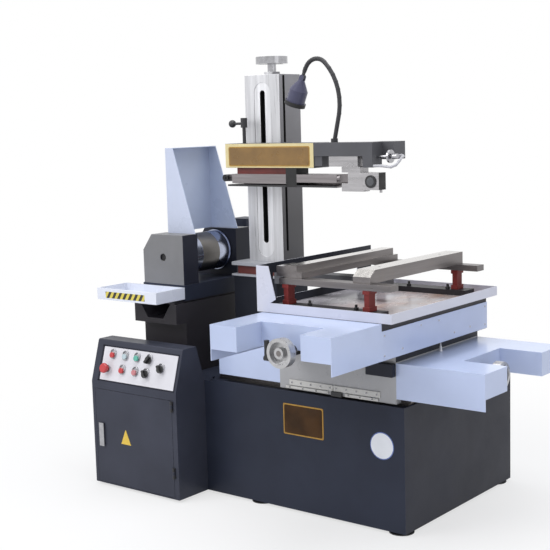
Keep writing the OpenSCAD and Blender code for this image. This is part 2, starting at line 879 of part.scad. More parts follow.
module lower_arm() {
    wheel_x = wire_x - guide_wheel_d / 2 + guide_groove;
    color(dark_grey) difference() {
        union() {
            span([base_x1, arm_y0, lower_arm_z0], [wire_x + arm_tip, arm_y1, lower_arm_z1]);
            bar_z(lower_arm_z1, lower_arm_z1 + nozzle_height, wire_x, wire_line_y, nozzle_d);
        }
        span([wheel_x - guide_wheel_d / 2 - nozzle_skirt, wire_line_y - wheel_slot / 2, lower_arm_z0 - cut],
            [wire_x + arm_tip - nozzle_skirt, wire_line_y + wheel_slot / 2, lower_arm_z1 - nozzle_skirt]);
        bar_y(arm_y0 - cut, arm_y1 + cut, wheel_x, lower_wheel_z, guide_shaft_d + 2 * running_gap);
        bar_z(lower_arm_z1 - nozzle_skirt - cut, lower_arm_z1 + nozzle_height + cut, wire_x, wire_line_y,
            nozzle_bore);
    }
}

module lower_wheel() {
    color(black) translate([wire_x - guide_wheel_d / 2 + guide_groove, wire_line_y, lower_wheel_z])
        guide_wheel(guide_wheel_d, lower_arm_width / 2, lower_arm_width / 2);
}

// UPPER ARM

saddle_left = 28;
saddle_lead = 97;
saddle_x0 = column_x0 - saddle_left;
saddle_x1 = saddle_x0 + saddle_length;
saddle_y0 = column_y0 - saddle_lead;
saddle_y1 = column_y0 - slide_gap;
saddle_top = saddle_bottom + saddle_height;
claw = 18;
claw_hook = groove_depth - slide_gap;
claw_depth = 12;
groove_play = 1;
key_play = 2;
key_inset = 24;
lift_nut_square = 56;
lever_inset = 32;
lever_x = column_x0 + lever_inset;
lever_setback = 47;
lever_y = saddle_y0 + lever_setback;
lever_post_d = 14;
lever_seat = 20;

// The claw that reaches round one side of the column into its groove
module saddle_claw(side) {
    hook_y = column_y0 + groove_setback + groove_play;
    hook_y1 = hook_y + groove_width - 2 * groove_play;
    outer = column_width / 2 + claw;
    translate([column_x, 0, 0]) mirror([side > 0 ? 0 : 1, 0, 0]) {
        span([column_width / 2 + slide_gap, saddle_y1 - claw_depth, saddle_bottom], [outer, hook_y1, saddle_top]);
        span([column_width / 2 - claw_hook, hook_y, saddle_bottom], [outer, hook_y1, saddle_top]);
    }
}

module arm_saddle() {
    key = slot_width / 2 - key_play;
    nut_half = lift_nut_square / 2;
    color(dark_grey) difference() {
        union() {
            span([saddle_x0, saddle_y0, saddle_bottom], [saddle_x1, saddle_y1, saddle_top]);
            for (side = [-1, 1]) saddle_claw(side);
            span([column_x - key, saddle_y1 - cut, saddle_bottom + key_inset],
                [column_x + key, lift_y, saddle_top - key_inset]);
            span([lift_x - nut_half, lift_y - nut_half, saddle_bottom + key_inset],
                [lift_x + nut_half, lift_y + nut_half, saddle_top - key_inset]);
        }
        bar_z(saddle_bottom - cut, saddle_top + cut, lift_x, lift_y, lift_screw_d + 2 * running_gap);
        bar_z(saddle_top - lever_seat, saddle_top + cut, lever_x, lever_y, lever_post_d + 2 * running_gap);
    }
}

lever_rise = 99;
lever_collar_d = 26;
lever_collar = 16;
lever_collar_gap = 0.3;
lever_arm_d = 10;
lever_arm_drop = 22;
lever_reach = 59;
ball_d = 30;

module clamp_lever() {
    z = saddle_top + lever_rise - lever_arm_drop;
    color(black) union() {
        bar_z(saddle_top - lever_seat + lever_collar_gap, saddle_top + lever_rise, lever_x, lever_y,
            lever_post_d);
        bar_z(z - lever_collar, z + lever_arm_drop, lever_x, lever_y, lever_collar_d);
        bar_x(lever_x - lever_reach, lever_x, lever_y, z, lever_arm_d);
        translate([lever_x - lever_reach, lever_y, z]) rotate([0, 90, 0]) sphere(d = ball_d);
    }
}

block_start = 29;
block_length = 267;
spacer_length = 51;
beam_run = 185;
insulator = 24;
insulator_inset = 15;
block_height = 36;
beam_height = 30;
beam_setback = 2;
beam_depth = 76;
strip_start = 6;
strip_gap = 5;
strip_plate = 7;
strip_web = 5;
beam_nose = 12;
nose_d = 25;
rear_wheel_d = 28;
rear_wheel_reach = 47;
rear_wheel_drop = 43;
rear_wheel_x = saddle_x0 - rear_wheel_reach;
rear_wheel_z = saddle_bottom - rear_wheel_drop;
bracket_setback = 13;
bracket_plate = 8;
bracket_round = 14;

module upper_beam() {
    y0 = saddle_y0 + beam_setback;
    y1 = y0 + beam_depth;
    x0 = saddle_x0 + block_start;
    spacer_x = x0 + block_length;
    beam_x = spacer_x + spacer_length;
    beam_x1 = beam_x + beam_run;
    z1 = saddle_bottom - insulator;
    strip_z1 = z1 - block_height - strip_gap;
    bracket_y = wire_line_y + bracket_setback;
    color([0.50, 0.46, 0.45]) difference() {
        union() {
            span([x0, y0, z1 - block_height], [spacer_x, y1, z1]);
            span([x0 + insulator_inset, y0 + insulator_inset, z1],
                [spacer_x, y1, saddle_bottom]);
            span([spacer_x, y0, strip_z1], [beam_x, y1, saddle_bottom]);
            span([beam_x, y0, z1 - beam_height], [beam_x1, y1, z1]);
            bar_x(beam_x1, beam_x1 + beam_nose, y0 + nose_d / 2, z1 - nose_d / 2, nose_d);
            span([saddle_x0 + strip_start, y0, strip_z1 - strip_plate], [beam_x1, y1, strip_z1]);
            span([x0, y1 - strip_web, strip_z1], [beam_x1, y1, z1 - beam_height + cut]);
            bar_y(bracket_y, bracket_y + bracket_plate, rear_wheel_x, rear_wheel_z, 2 * bracket_round);
            span([rear_wheel_x, bracket_y, rear_wheel_z - bracket_round],
                [x0, bracket_y + bracket_plate, rear_wheel_z + bracket_round]);
        }
        bar_y(bracket_y - cut, bracket_y + bracket_plate + cut, rear_wheel_x, rear_wheel_z,
            guide_shaft_d + 2 * running_gap);
    }
}

module rear_wheel() {
    color(black) translate([rear_wheel_x, wire_line_y, rear_wheel_z])
        guide_wheel(rear_wheel_d, guide_wheel_width, bracket_setback + bracket_plate);
}

// TAPER HEAD

head_lead = 3;
head_length = 218;
head_depth = 65;
head_height = 50;
head_left_block = 35;
head_block_drop = 37;
head_right_block = 42;
head_right_drop = 91;
rear_box_length = 97;
rear_box_depth = 70;
rear_box_height = 64;
head_y0 = saddle_y0 - head_lead;
head_y1 = head_y0 + head_depth;
head_x1 = saddle_x1 + head_length;
head_z0 = saddle_top - head_height;
head_block_x1 = head_x1 + head_right_block;

// The tee slots that guide the taper slides
tee_neck = 14;
tee_head = 26;
tee_height = 6;
u_left = 66;
u_length = 128;
u_height = 37.7;
u_setback = 5;
u_x0 = saddle_x1 + u_left;
u_x1 = u_x0 + u_length;
u_z0 = head_z0 - slide_gap - u_height;
u_y0 = head_y0 + u_setback;
u_y1 = head_y1 - u_setback;
knob_shaft_d = 10;
knob_y = (head_y0 + head_y1) / 2;
knob_drop = 52;
knob_z = saddle_top - knob_drop;

// A tee section, its foot on the origin, grown by a gap all round
module tee(gap) {
    translate([-tee_neck / 2 - gap, -gap]) square([tee_neck + 2 * gap, tee_height + 2 * gap]);
    translate([-tee_head / 2 - gap, tee_height - gap]) square([tee_head + 2 * gap, tee_height + 2 * gap]);
}

module taper_box() {
    y = (u_y0 + u_y1) / 2;
    color(dark_grey) difference() {
        union() {
            span([saddle_x1, head_y0, head_z0], [head_x1, head_y1, saddle_top]);
            span([saddle_x1, u_y0, head_z0 - head_block_drop], [saddle_x1 + head_left_block, u_y1, head_z0]);
            span([head_x1, head_y0, saddle_top - head_right_drop], [head_block_x1, head_y1, saddle_top]);
            span([head_x1, head_y1, saddle_top - rear_box_height],
                [head_x1 + rear_box_length, head_y1 + rear_box_depth, saddle_top]);
        }
        translate([saddle_x1 + head_left_block, y, head_z0]) rotate([90, 0, 90])
            linear_extrude(head_length - head_left_block) tee(slide_gap);
        bar_x(head_x1 + knob_seat, head_block_x1 + cut, knob_y, knob_z, knob_shaft_d + 2 * running_gap);
    }
}

module u_slide() {
    color(steel) difference() {
        union() {
            span([u_x0, u_y0, u_z0], [u_x1, u_y1, head_z0 - slide_gap]);
            translate([u_x0, (u_y0 + u_y1) / 2, head_z0 - slide_gap]) rotate([90, 0, 90])
                linear_extrude(u_length) tee(0);
        }
        translate([v_x, u_y1 + cut, u_z0]) rotate([90, 0, 0])
            linear_extrude(u_y1 - u_y0 + 2 * cut) tee(slide_gap);
    }
}

v_left = 57;
v_plate = 81;
v_plate_height = 21;
v_x0 = u_x0 + v_left;
v_x = v_x0 + v_plate / 2;
v_z1 = u_z0 - slide_gap;
v_block_left = 27;
v_block_height = 40;
housing_reach = 289;
housing_square = 69;
housing_height = 62;
housing_depth_y = 46;
head_foot_length = 97;
head_foot_height = 29;
head_foot_depth = 40;
wheel_x = wire_x - guide_wheel_d / 2 + guide_groove;
upper_wheel_z = saddle_bottom - 2 * nozzle_d - wheel_slot / 2;
cap_d = 46;
cap_thick = 4;

// The lower taper slide, with the block that carries the upper guide wheel
module v_slide() {
    z1 = v_z1 - v_plate_height;
    house_x0 = bed_x1 - housing_reach;
    house_z0 = z1 - housing_height;
    foot_x1 = house_x0 + cut;
    color([0.75, 0.75, 0.73]) difference() {
        union() {
            span([v_x0, u_y0, z1], [v_x0 + v_plate, u_y1, v_z1]);
            translate([v_x, u_y1, v_z1]) rotate([90, 0, 0]) linear_extrude(u_y1 - u_y0) tee(0);
            span([v_x0 + v_block_left, u_y0, z1 - v_block_height], [house_x0 + cut, u_y1, z1]);
            span([house_x0, head_y0, house_z0], [house_x0 + housing_square, head_y0 + housing_depth_y, z1]);
            span([foot_x1 - head_foot_length, u_y0, z1 - v_block_height - head_foot_height],
                [foot_x1, u_y0 + head_foot_depth, z1 - v_block_height]);
            bar_z(house_z0 - nozzle_height, house_z0, wire_x, wire_line_y - guide_wheel_width, nozzle_d / 2);
        }
        bar_y(head_y0 - cut, head_y0 + housing_depth_y + cut, wheel_x, upper_wheel_z,
            guide_shaft_d + 2 * running_gap);
    }
}

module upper_wheel() {
    color(black) translate([wheel_x, 0, upper_wheel_z]) {
        translate([0, wire_line_y, 0])
            guide_wheel(guide_wheel_d, wire_line_y - head_y0 + slide_gap, guide_wheel_width);
        bar_y(head_y0 - slide_gap - cap_thick, head_y0 - slide_gap, 0, 0, cap_d);
    }
}

knob_seat = 8;
dial_d = 48;
dial_thick = 8;
dial_reach = 53;
knob_d = 20;
knob_reach = 65;
knob_length = 22;

module u_knob() {
    color(steel) union() {
        bar_x(head_x1 + knob_seat + slide_gap, head_block_x1 + knob_reach, knob_y, knob_z, knob_shaft_d);
        bar_x(head_block_x1 + dial_reach, head_block_x1 + dial_reach + dial_thick, knob_y, knob_z, dial_d);
        bar_x(head_block_x1 + knob_reach, head_block_x1 + knob_reach + knob_length, knob_y, knob_z, knob_d);
    }
}

// A round hose or stem through a list of points, with a slightly proud bead at each bend
tube_fn = 16;
bead = 0.6;
module tube_path(points, d) {
    for (i = [0 : len(points) - 2]) {
        step = points[i + 1] - points[i];
        flat = norm([step[0], step[1]]);
        translate(points[i]) rotate([0, atan2(flat, step[2]), atan2(step[1], step[0])]) {
            if (i > 0) sphere(d = d + 2 * bead, $fn = tube_fn);
            cylinder(h = norm(step), d = d);
        }
    }
}

coolant_d = 10;

// The coolant hose from the head's right block, round the knob and back to the rear box
module coolant_pipe() {
    route = [[0, 8, 6], [34, 8, 6], [74, 8, 2], [92, 12, 9], [96, 28, 22], [90, 52, 32], [84, 74, 38],
        [72, 84, 40], [55, 84, 40]];
    color([0.85, 0.85, 0.87]) translate([head_block_x1, head_y0, saddle_top - head_right_drop])
        tube_path(route, coolant_d);
}

// LAMP

stem_reach = 433;
stem_x = bed_x1 - stem_reach;
stem_y = head_y0 + head_depth / 2;
stem_lean = 16;
stem_rise = 3;
stem_collar_d = 26;
stem_collar = 14;
stem_tongue = 8;
pivot_d = 18;
pivot_pin_d = 6;
stem_short = 20;

// Each bend of the flexible stem: its radius, and how far it turns
stem_bends = [[1000, 6], [210, 56], [54, 98], [110, 14]];

// The points of the stem: its bends one after another, in short steps
stem_step = 8;
stem_foot = [stem_x, stem_y, saddle_top + stem_rise];
function arc_points(p, lean, r, turn) =
    let (n = ceil(turn / stem_step))
    [for (i = [1 : n]) let (a = lean - turn * i / n) p + r * [cos(a) - cos(lean), 0, sin(lean) - sin(a)]];
function stem_walk(k, p, lean) = k == len(stem_bends) ? [] :
    let (points = arc_points(p, lean, stem_bends[k][0], stem_bends[k][1]))
    concat(points, stem_walk(k + 1, points[len(points) - 1], lean - stem_bends[k][1]));
stem_route = concat([stem_foot], stem_walk(0, stem_foot, stem_lean));
stem_tip = stem_route[len(stem_route) - 1];
stem_tip_lean = stem_lean - [for (bend = stem_bends) bend[1]] * [for (bend = stem_bends) 1];

// Places its children at the stem's tip, pointing along it, or at the lamp's pivot just beyond
module at_stem_tip(reach) {
    translate(stem_tip) rotate([0, stem_tip_lean, 0]) translate([0, 0, reach]) children();
}

module gooseneck() {
    color(black) difference() {
        union() {
            bar_z(saddle_top, saddle_top + stem_collar, stem_x, stem_y, stem_collar_d);
            tube_path(stem_route, stem_d);
            at_stem_tip(0) stem_tongue();
        }
        at_stem_tip(stem_short) bar_y(-stem_d, stem_d, 0, 0, pivot_pin_d + 2 * running_gap);
    }
}

// The flat tongue at the stem's end, with a round eye for the lamp's pin
module stem_tongue() {
    translate([0, 0, stem_short]) bar_y(-stem_tongue / 2, stem_tongue / 2, 0, 0, pivot_d);
    translate([-stem_d / 3, -stem_tongue / 2, 0]) cube([stem_d * 2 / 3, stem_tongue, stem_short]);
}

fork_gap = 0.3;
fork_ear = 5;
shade_neck = 12;
shade_d = 70;
shade_length = 112;
shade_neck_d = 22;
shade_wall = 3;
shade_depth = 26;
shade_shoulder_share = 0.4;
shade_ring = 5;
shade_ring_length = 14;

// The lamp's shade, an open cup on a fork, measured along its axis from the pivot
module lamp_head() {
    r = shade_d / 2;
    shoulder = shade_neck + (shade_length - shade_neck) * shade_shoulder_share;
    ear_y = stem_tongue / 2 + fork_gap;
    color([0.33, 0.33, 0.50]) at_stem_tip(stem_short) {
        rotate_extrude() polygon([[0, shade_neck], [shade_neck_d / 2, shade_neck], [r, shoulder],
            [r, shade_length - shade_ring_length], [r + shade_ring, shade_length - shade_ring_length],
            [r + shade_ring, shade_length], [r - shade_wall, shade_length],
            [r - shade_wall, shade_length - shade_depth], [0, shade_length - shade_depth]]);
        for (y = [ear_y, -ear_y - fork_ear]) {
            bar_y(y, y + fork_ear, 0, 0, pivot_d);
            translate([-pivot_d / 2, y, 0]) cube([pivot_d, fork_ear, shade_neck + fork_gap]);
        }
        bar_y(-ear_y - cut, ear_y + cut, 0, 0, pivot_pin_d);
    }
}

// WIRE DRUM UNIT

pedestal_gap = 91;
pedestal_x1 = base_x0 - flange_overhang - pedestal_gap;
pedestal_x0 = pedestal_x1 - pedestal_width;
pedestal_height = 205;
unit_depth = 430;
unit_y1 = unit_y0 + unit_depth;
channel_lead = 55;
channel_height = 80;
channel_wall = 30;
channel_floor = 20;
channel_slope = 42;
channel_z1 = bed_top + pedestal_height + channel_height;
pedestal_wall = 14;
pedestal_deck = 20;
runner_width = 34;
runner_height = 8;
runner_inset = 8;

// The hollow pedestal and the open channel on it, which carries the runners of the carriage
module drum_pedestal() {
    top = bed_top + pedestal_height;
    y0 = unit_y0 - channel_lead;
    color(dark_grey) difference() {
        union() {
            span([pedestal_x0, unit_y0, bed_top], [pedestal_x1, unit_y1, top]);
            span([pedestal_x0, y0, top], [pedestal_x1, unit_y1, channel_z1]);
            for (x = [pedestal_x0 + runner_inset, pedestal_x1 - runner_inset - runner_width])
                span([x, y0, channel_z1], [x + runner_width, unit_y1, channel_z1 + runner_height]);
        }
        span([pedestal_x0 + pedestal_wall, unit_y0 + pedestal_wall, bed_top - cut],
            [pedestal_x1 - pedestal_wall, unit_y1 - pedestal_wall, top - pedestal_deck]);
        translate([0, unit_y1 - pedestal_wall, 0]) rotate([90, 0, 0])
            linear_extrude(unit_depth + channel_lead - pedestal_wall + cut)
                polygon([[pedestal_x0 + channel_wall + channel_slope, top + channel_floor],
                    [pedestal_x1 - channel_wall - channel_slope, top + channel_floor],
                    [pedestal_x1 - channel_wall, channel_z1 + cut],
                    [pedestal_x0 + channel_wall, channel_z1 + cut]]);
    }
}

carriage_z0 = channel_z1 + runner_height + slide_gap;
carriage_height = 62;
carriage_z1 = carriage_z0 + carriage_height;

module carriage_base() {
    color(navy) span([pedestal_x0, unit_y0, carriage_z0], [pedestal_x1, unit_y1, carriage_z1]);
}

drip_overhang = 100;
drip_depth = 163;
drip_height = 47;
drip_rise = 7;
drip_wall = 6;
drip_floor = 8;

module drip_tray() {
    x0 = pedestal_x0 - drip_overhang;
    y0 = unit_y0 - drip_depth;
    z0 = carriage_z0 + drip_rise;
    color([0.82, 0.83, 0.92]) difference() {
        span([x0, y0, z0], [pedestal_x1, unit_y0, z0 + drip_height]);
        span([x0 + drip_wall, y0 + drip_wall, z0 + drip_floor],
            [pedestal_x1 - drip_wall, unit_y0 - drip_wall, z0 + drip_height + cut]);
    }
}

drum_inset = 112;
drum_x = pedestal_x1 - drum_inset;
drum_height = carriage_z1 + drum_rise;
housing_top = drum_height + housing_rise;
housing_x0 = drum_x - housing_width / 2;
housing_chamfer_x = 48;
housing_chamfer_z = 64;
drum_gap = 3;
drum_y0 = unit_y0 + housing_depth + drum_gap;
drum_y1 = drum_y0 + drum_length;
drum_bore = drum_shaft_d + 2 * running_gap;

// A bearing housing from the given front, with its big chamfer at the upper left
module bearing_housing(y0) {
    x1 = housing_x0 + housing_width;
    difference() {
        translate([0, y0 + housing_depth, 0]) rotate([90, 0, 0]) linear_extrude(housing_depth)
            polygon([[housing_x0, carriage_z1], [x1, carriage_z1], [x1, housing_top],
                [housing_x0 + housing_chamfer_x, housing_top], [housing_x0, housing_top - housing_chamfer_z]]);
        bar_y(y0 - cut, y0 + housing_depth + cut, drum_x, drum_height, drum_bore);
    }
}

module front_housing() {
    color(grey_cast) bearing_housing(unit_y0);
}

module rear_housing() {
    color(grey_cast) bearing_housing(drum_y1 + drum_gap);
}

motor_coupling = 14;
shaft_inset = 6;
end_flange = 4;
end_flange_length = 5;

module drum() {
    shaft_y1 = drum_y1 + drum_gap + housing_depth + motor_coupling;
    color([0.45, 0.45, 0.45]) union() {
        bar_y(drum_y0, drum_y1, drum_x, drum_height, drum_d);
        for (y = [drum_y0, drum_y1 - end_flange_length])
            bar_y(y, y + end_flange_length, drum_x, drum_height, drum_d + 2 * end_flange);
        bar_y(unit_y0 + shaft_inset, shaft_y1, drum_x, drum_height, drum_shaft_d);
    }
}

drum_motor_length = 236;
motor_fin_count = 24;
motor_fin = 4;
motor_box_width = 90;
motor_box_length = 96;
motor_box_height = 42;
motor_box_start = 60;

module drum_motor() {
    y0 = drum_y1 + drum_gap + housing_depth;
    r = drum_motor_d / 2;
    color(navy) difference() {
        union() {
            bar_y(y0, y0 + drum_motor_length, drum_x, drum_height, drum_motor_d - 2 * motor_fin);
            for (y = [y0, y0 + drum_motor_length - motor_coupling])
                bar_y(y, y + motor_coupling, drum_x, drum_height, drum_motor_d);
            for (i = [0 : motor_fin_count - 1])
                translate([drum_x, y0, drum_height]) rotate([0, i * 360 / motor_fin_count, 0])
                    translate([r - 2 * motor_fin, 0, -motor_fin / 2])
                        cube([2 * motor_fin - slide_gap, drum_motor_length, motor_fin]);
            span([drum_x - motor_box_width / 2, y0 + motor_box_start, drum_height + r - 2 * motor_fin],
                [drum_x + motor_box_width / 2, y0 + motor_box_start + motor_box_length,
                drum_height + r + motor_box_height]);
        }
        bar_y(y0 - cut, y0 + motor_coupling + shaft_inset, drum_x, drum_height, drum_bore);
    }
}

hood_front_inset = 16;
hood_rear_inset = 12;
hood_left_inset = 74;
hood_top_width = 40;

// The splash hood: an open box of sheet, narrow at the top, standing on both housings
module splash_hood() {
    x0 = housing_x0 + hood_left_inset;
    x1 = pedestal_x1;
    y0 = unit_y0 + housing_depth - hood_front_inset;
    y1 = drum_y1 + drum_gap + hood_rear_inset;
    z1 = housing_top + hood_height;
    run = x1 - x0 - hood_top_width;
    color([0.82, 0.83, 0.92]) {
        for (y = [y0 + cover_sheet, y1])
            translate([0, y, 0]) rotate([90, 0, 0]) linear_extrude(cover_sheet)
                polygon([[x0, housing_top], [x1, housing_top], [x1 - run, z1], [x0, z1]]);
        span([x0, y0, housing_top], [x0 + cover_sheet, y1, z1]);
        span([x0, y0, z1 - cover_sheet], [x0 + hood_top_width, y1, z1]);
    }
}

// CABINET AND CONTROLS

cabinet_z0 = pad_height;
slope_rise = 159;
panel_tilt = atan(slope_setback / slope_rise);
cabinet_crown = 5;
cabinet_back = 41;
panel_width = 400;
panel_height = 133;
panel_side = 45;
panel_start = 10;
panel_plate = 2;
panel_edge = 10;
panel_x0 = cabinet_x0 + panel_side;
door_left = 18;
door_rise = 2;
door_gap = 1.5;
door_x0 = cabinet_x0 + door_left;
door_x1 = cabinet_x0 + cabinet_width - door_right;
door_z0 = cabinet_z0 + door_rise;
door_z1 = door_z0 + door_height;
cable_d = 26;
cable_rise = 90;
cable_back = 60;

// The cabinet's side outline in Y and Z, drawn in by a sheet's thickness t
module cabinet_outline(t) {
    y0 = cabinet_y0 + t;
    y_slope = cabinet_y0 + slope_setback + t;
    y_back = bed_y0 - cabinet_back - t;
    polygon([[y0, cabinet_z0 + t], [y0, slope_start], [y_slope, slope_start + slope_rise - t],
        [y_slope + cabinet_crown, cabinet_top - t], [y_back, cabinet_top - t],
        [bed_y0 - t, bed_top], [bed_y0 - t, cabinet_z0 + t]]);
}

// Draws its children upright on the sloping panel face, their origin at a place on the panel
module on_slope(x, rise) {
    translate([panel_x0 + x, cabinet_y0, slope_start]) rotate([-panel_tilt, 0, 0])
        translate([0, 0, rise]) rotate([90, 0, 0]) children();
}

module cabinet_shell() {
    color(navy) difference() {
        translate([cabinet_x0, 0, 0]) rotate([90, 0, 90]) linear_extrude(cabinet_width) cabinet_outline(0);
        translate([cabinet_x0 + cabinet_sheet, 0, 0]) rotate([90, 0, 90])
            linear_extrude(cabinet_width - 2 * cabinet_sheet) cabinet_outline(cabinet_sheet);
        span([door_x0 - door_gap, cabinet_y0 - cut, door_z0 + cabinet_sheet],
            [door_x1 + door_gap, cabinet_y0 + cabinet_sheet + cut, door_z1 + door_gap]);
        on_slope(panel_edge, panel_start + panel_edge) translate([0, 0, -2 * cabinet_sheet])
            cube([panel_width - 2 * panel_edge, panel_height - 2 * panel_edge, 3 * cabinet_sheet]);
        bar_x(cabinet_x0 - cut, cabinet_x0 + cabinet_sheet + cut, bed_y0 - cable_back, cabinet_z0 + cable_rise,
            cable_d);
    }
}

bezel_d = 30;
bezel_height = 6;
button_fit = control_bore - 2 * running_gap;
button_proud = 7;
button_stem = 26;
upper_row = 112;
lower_row = 56;
speed_row = 83;
red_place = 56;
lamp_place = 124;
green_place = 189;
mode_place = 255;
estop_place = 35;
feed_place = 119;
pump_place = 190;
pump_selector_place = 249;
speed_place = 324;
lamp_dome = 5;

module control_panel() {
    bored = [[red_place, upper_row], [green_place, upper_row], [mode_place, upper_row],
        [estop_place, lower_row], [feed_place, lower_row], [pump_place, lower_row],
        [pump_selector_place, lower_row], [speed_place, speed_row]];
    color([0.93, 0.93, 0.94]) difference() {
        union() {
            on_slope(0, panel_start) cube([panel_width, panel_height, panel_plate]);
            for (place = bored) on_slope(place[0], place[1]) cylinder(h = panel_plate + bezel_height, d = bezel_d);
            on_slope(lamp_place, upper_row) cylinder(h = panel_plate + bezel_height, d = bezel_d);
            on_slope(lamp_place, upper_row) cylinder(h = panel_plate + bezel_height + lamp_dome, d = control_bore);
        }
        for (place = bored) on_slope(place[0], place[1])
            translate([0, 0, -cut]) cylinder(h = panel_plate + bezel_height + 2 * cut, d = control_bore);
    }
}

// A flush push button in its bezel
module push_button(place, row) {
    on_slope(place, row) translate([0, 0, -button_stem])
        cylinder(h = button_stem + panel_plate + bezel_height + button_proud, d = button_fit);
}

module red_button() {
    color([0.75, 0.15, 0.15]) push_button(red_place, upper_row);
}

module green_button() {
    color([0.25, 0.60, 0.50]) push_button(green_place, upper_row);
}

module feed_button() {
    color([0.75, 0.15, 0.15]) push_button(feed_place, lower_row);
}

module pump_button() {
    color([0.78, 0.25, 0.25]) push_button(pump_place, lower_row);
}

mushroom_d = 40;
mushroom_rim_d = 34;
mushroom_height = 15;
estop_neck = 8;

module estop_button() {
    z = panel_plate + bezel_height + estop_neck;
    color([0.80, 0.12, 0.12]) on_slope(estop_place, lower_row) union() {
        translate([0, 0, -button_stem]) cylinder(h = button_stem + z + cut, d = button_fit);
        translate([0, 0, z]) rotate_extrude() polygon([[0, 0], [mushroom_rim_d / 2, 0], [mushroom_d / 2,
            mushroom_height / 3], [mushroom_d / 2, mushroom_height * 2 / 3],
            [mushroom_rim_d / 2, mushroom_height], [0, mushroom_height]]);
    }
}

lever_width = 9;
lever_height = 16;
knob_turn = -35;

// A selector: a round base in its bezel, with a raised finger bar at an angle
module selector(place, row, turn) {
    z = panel_plate + bezel_height + slide_gap;
    color(black) on_slope(place, row) rotate([0, 0, turn]) union() {
        translate([0, 0, -button_stem]) cylinder(h = button_stem + z + cut, d = button_fit);
        translate([0, 0, z]) cylinder(h = button_proud, d = bezel_d);
        translate([-lever_width / 2, -bezel_d / 2, z]) cube([lever_width, bezel_d, lever_height]);
    }
}

module mode_selector() {
    selector(mode_place, upper_row, knob_turn);
}

module speed_selector() {
    selector(speed_place, speed_row, -knob_turn);
}

module pump_selector() {
    selector(pump_selector_place, lower_row, -knob_turn);
}

hinge_d = 10;
hinge_pin_d = 5;
knuckle = 14;
knuckle_gap = 0.3;
hinge_low = 84;
hinge_high = 345;
hinge_leaf = 7;
hinge_leaf_plate = 2;
hinge_x = door_x1 + door_gap + hinge_leaf_plate;
hinge_y = cabinet_y0 - hinge_d / 2;

module door_hinges() {
    color(black) for (rise = [hinge_low, hinge_high]) {
        z = cabinet_z0 + rise;
        for (low = [z, z + 2 * knuckle])
            bar_z(low + knuckle_gap, low + knuckle - knuckle_gap, hinge_x, hinge_y, hinge_d);
        bar_z(z + knuckle_gap, z + 3 * knuckle - knuckle_gap, hinge_x, hinge_y, hinge_pin_d);
        for (low = [z, z + 2 * knuckle])
            span([hinge_x, cabinet_y0 - hinge_leaf_plate, low + knuckle_gap],
                [hinge_x + hinge_leaf, cabinet_y0, low + knuckle - knuckle_gap]);
    }
}

lock_width = 26;
lock_height = 95;
lock_inset = 33;
lock_rise = 201;
lock_shaft_d = 12;
lock_plate = 8;
lock_x = door_x0 + lock_inset;
lock_z = door_z0 + lock_rise;
lock_cam_width = 10;
lock_cam_length = 24;
lock_cam_plate = 3;

module cabinet_door() {
    hinge_z = [cabinet_z0 + hinge_low + knuckle, cabinet_z0 + hinge_high + knuckle];
    z0 = door_z0 + cabinet_sheet + door_gap;
    inner_y = cabinet_y0 + door_fold;
    color(navy) difference() {
        union() {
            span([door_x0, cabinet_y0, z0], [door_x1, inner_y, door_z1]);
            for (z = hinge_z) {
                bar_z(z + knuckle_gap, z + knuckle - knuckle_gap, hinge_x, hinge_y, hinge_d);
                span([door_x1 - hinge_leaf, cabinet_y0 - hinge_leaf_plate, z + knuckle_gap],
                    [hinge_x, cabinet_y0, z + knuckle - knuckle_gap]);
            }
        }
        span([door_x0 + cabinet_sheet, cabinet_y0 + cabinet_sheet, z0 + cabinet_sheet],
            [door_x1 - cabinet_sheet, inner_y + cut, door_z1 - cabinet_sheet]);
        for (z = hinge_z)
            bar_z(z - cut, z + knuckle + cut, hinge_x, hinge_y, hinge_pin_d + 2 * running_gap);
        bar_y(cabinet_y0 - cut, cabinet_y0 + cabinet_sheet + cut, lock_x, lock_z, lock_shaft_d + 2 * running_gap);
    }
}

module door_lock() {
    y = cabinet_y0 - slide_gap;
    color(steel) union() {
        span([lock_x - lock_width / 2, y - lock_plate, lock_z - lock_height / 2],
            [lock_x + lock_width / 2, y, lock_z + lock_height / 2]);
        bar_y(y - cut, cabinet_y0 + door_fold, lock_x, lock_z, lock_shaft_d);
        span([lock_x - lock_cam_width / 2, cabinet_y0 + door_fold, lock_z - lock_cam_length],
            [lock_x + lock_cam_width / 2, cabinet_y0 + door_fold + lock_cam_plate, lock_z + lock_cam_width]);
    }
}

bed();
foot_pads();
x_rails();
drum_pedestal();
column_base();
column();
lower_arm();
cabinet_shell();
control_panel();
door_hinges();
cabinet_door();
door_lock();
red_button();
green_button();
feed_button();
pump_button();
estop_button();
mode_selector();
speed_selector();
pump_selector();
lower_wheel();
column_handwheel();
lift_screw();
arm_saddle();
upper_beam();
taper_box();
gooseneck();
coolant_pipe();
rear_wheel();
clamp_lever();
u_slide();
v_slide();
u_knob();
upper_wheel();
lamp_head();
middle_slide();
right_cover();
left_cover();
x_motor();
x_handwheel();
x_screw();
table_slide();
side_plates();
front_cover();
y_motor();
y_handwheel();
y_screw();
y_crank();
water_tray();
work_posts();
cross_bars();
left_rail();
right_rail();
carriage_base();
drip_tray();
front_housing();
rear_housing();
drum();
drum_motor();
splash_hood();
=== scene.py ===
import json
import math

import bmesh
import bpy
from mathutils import Matrix, Vector


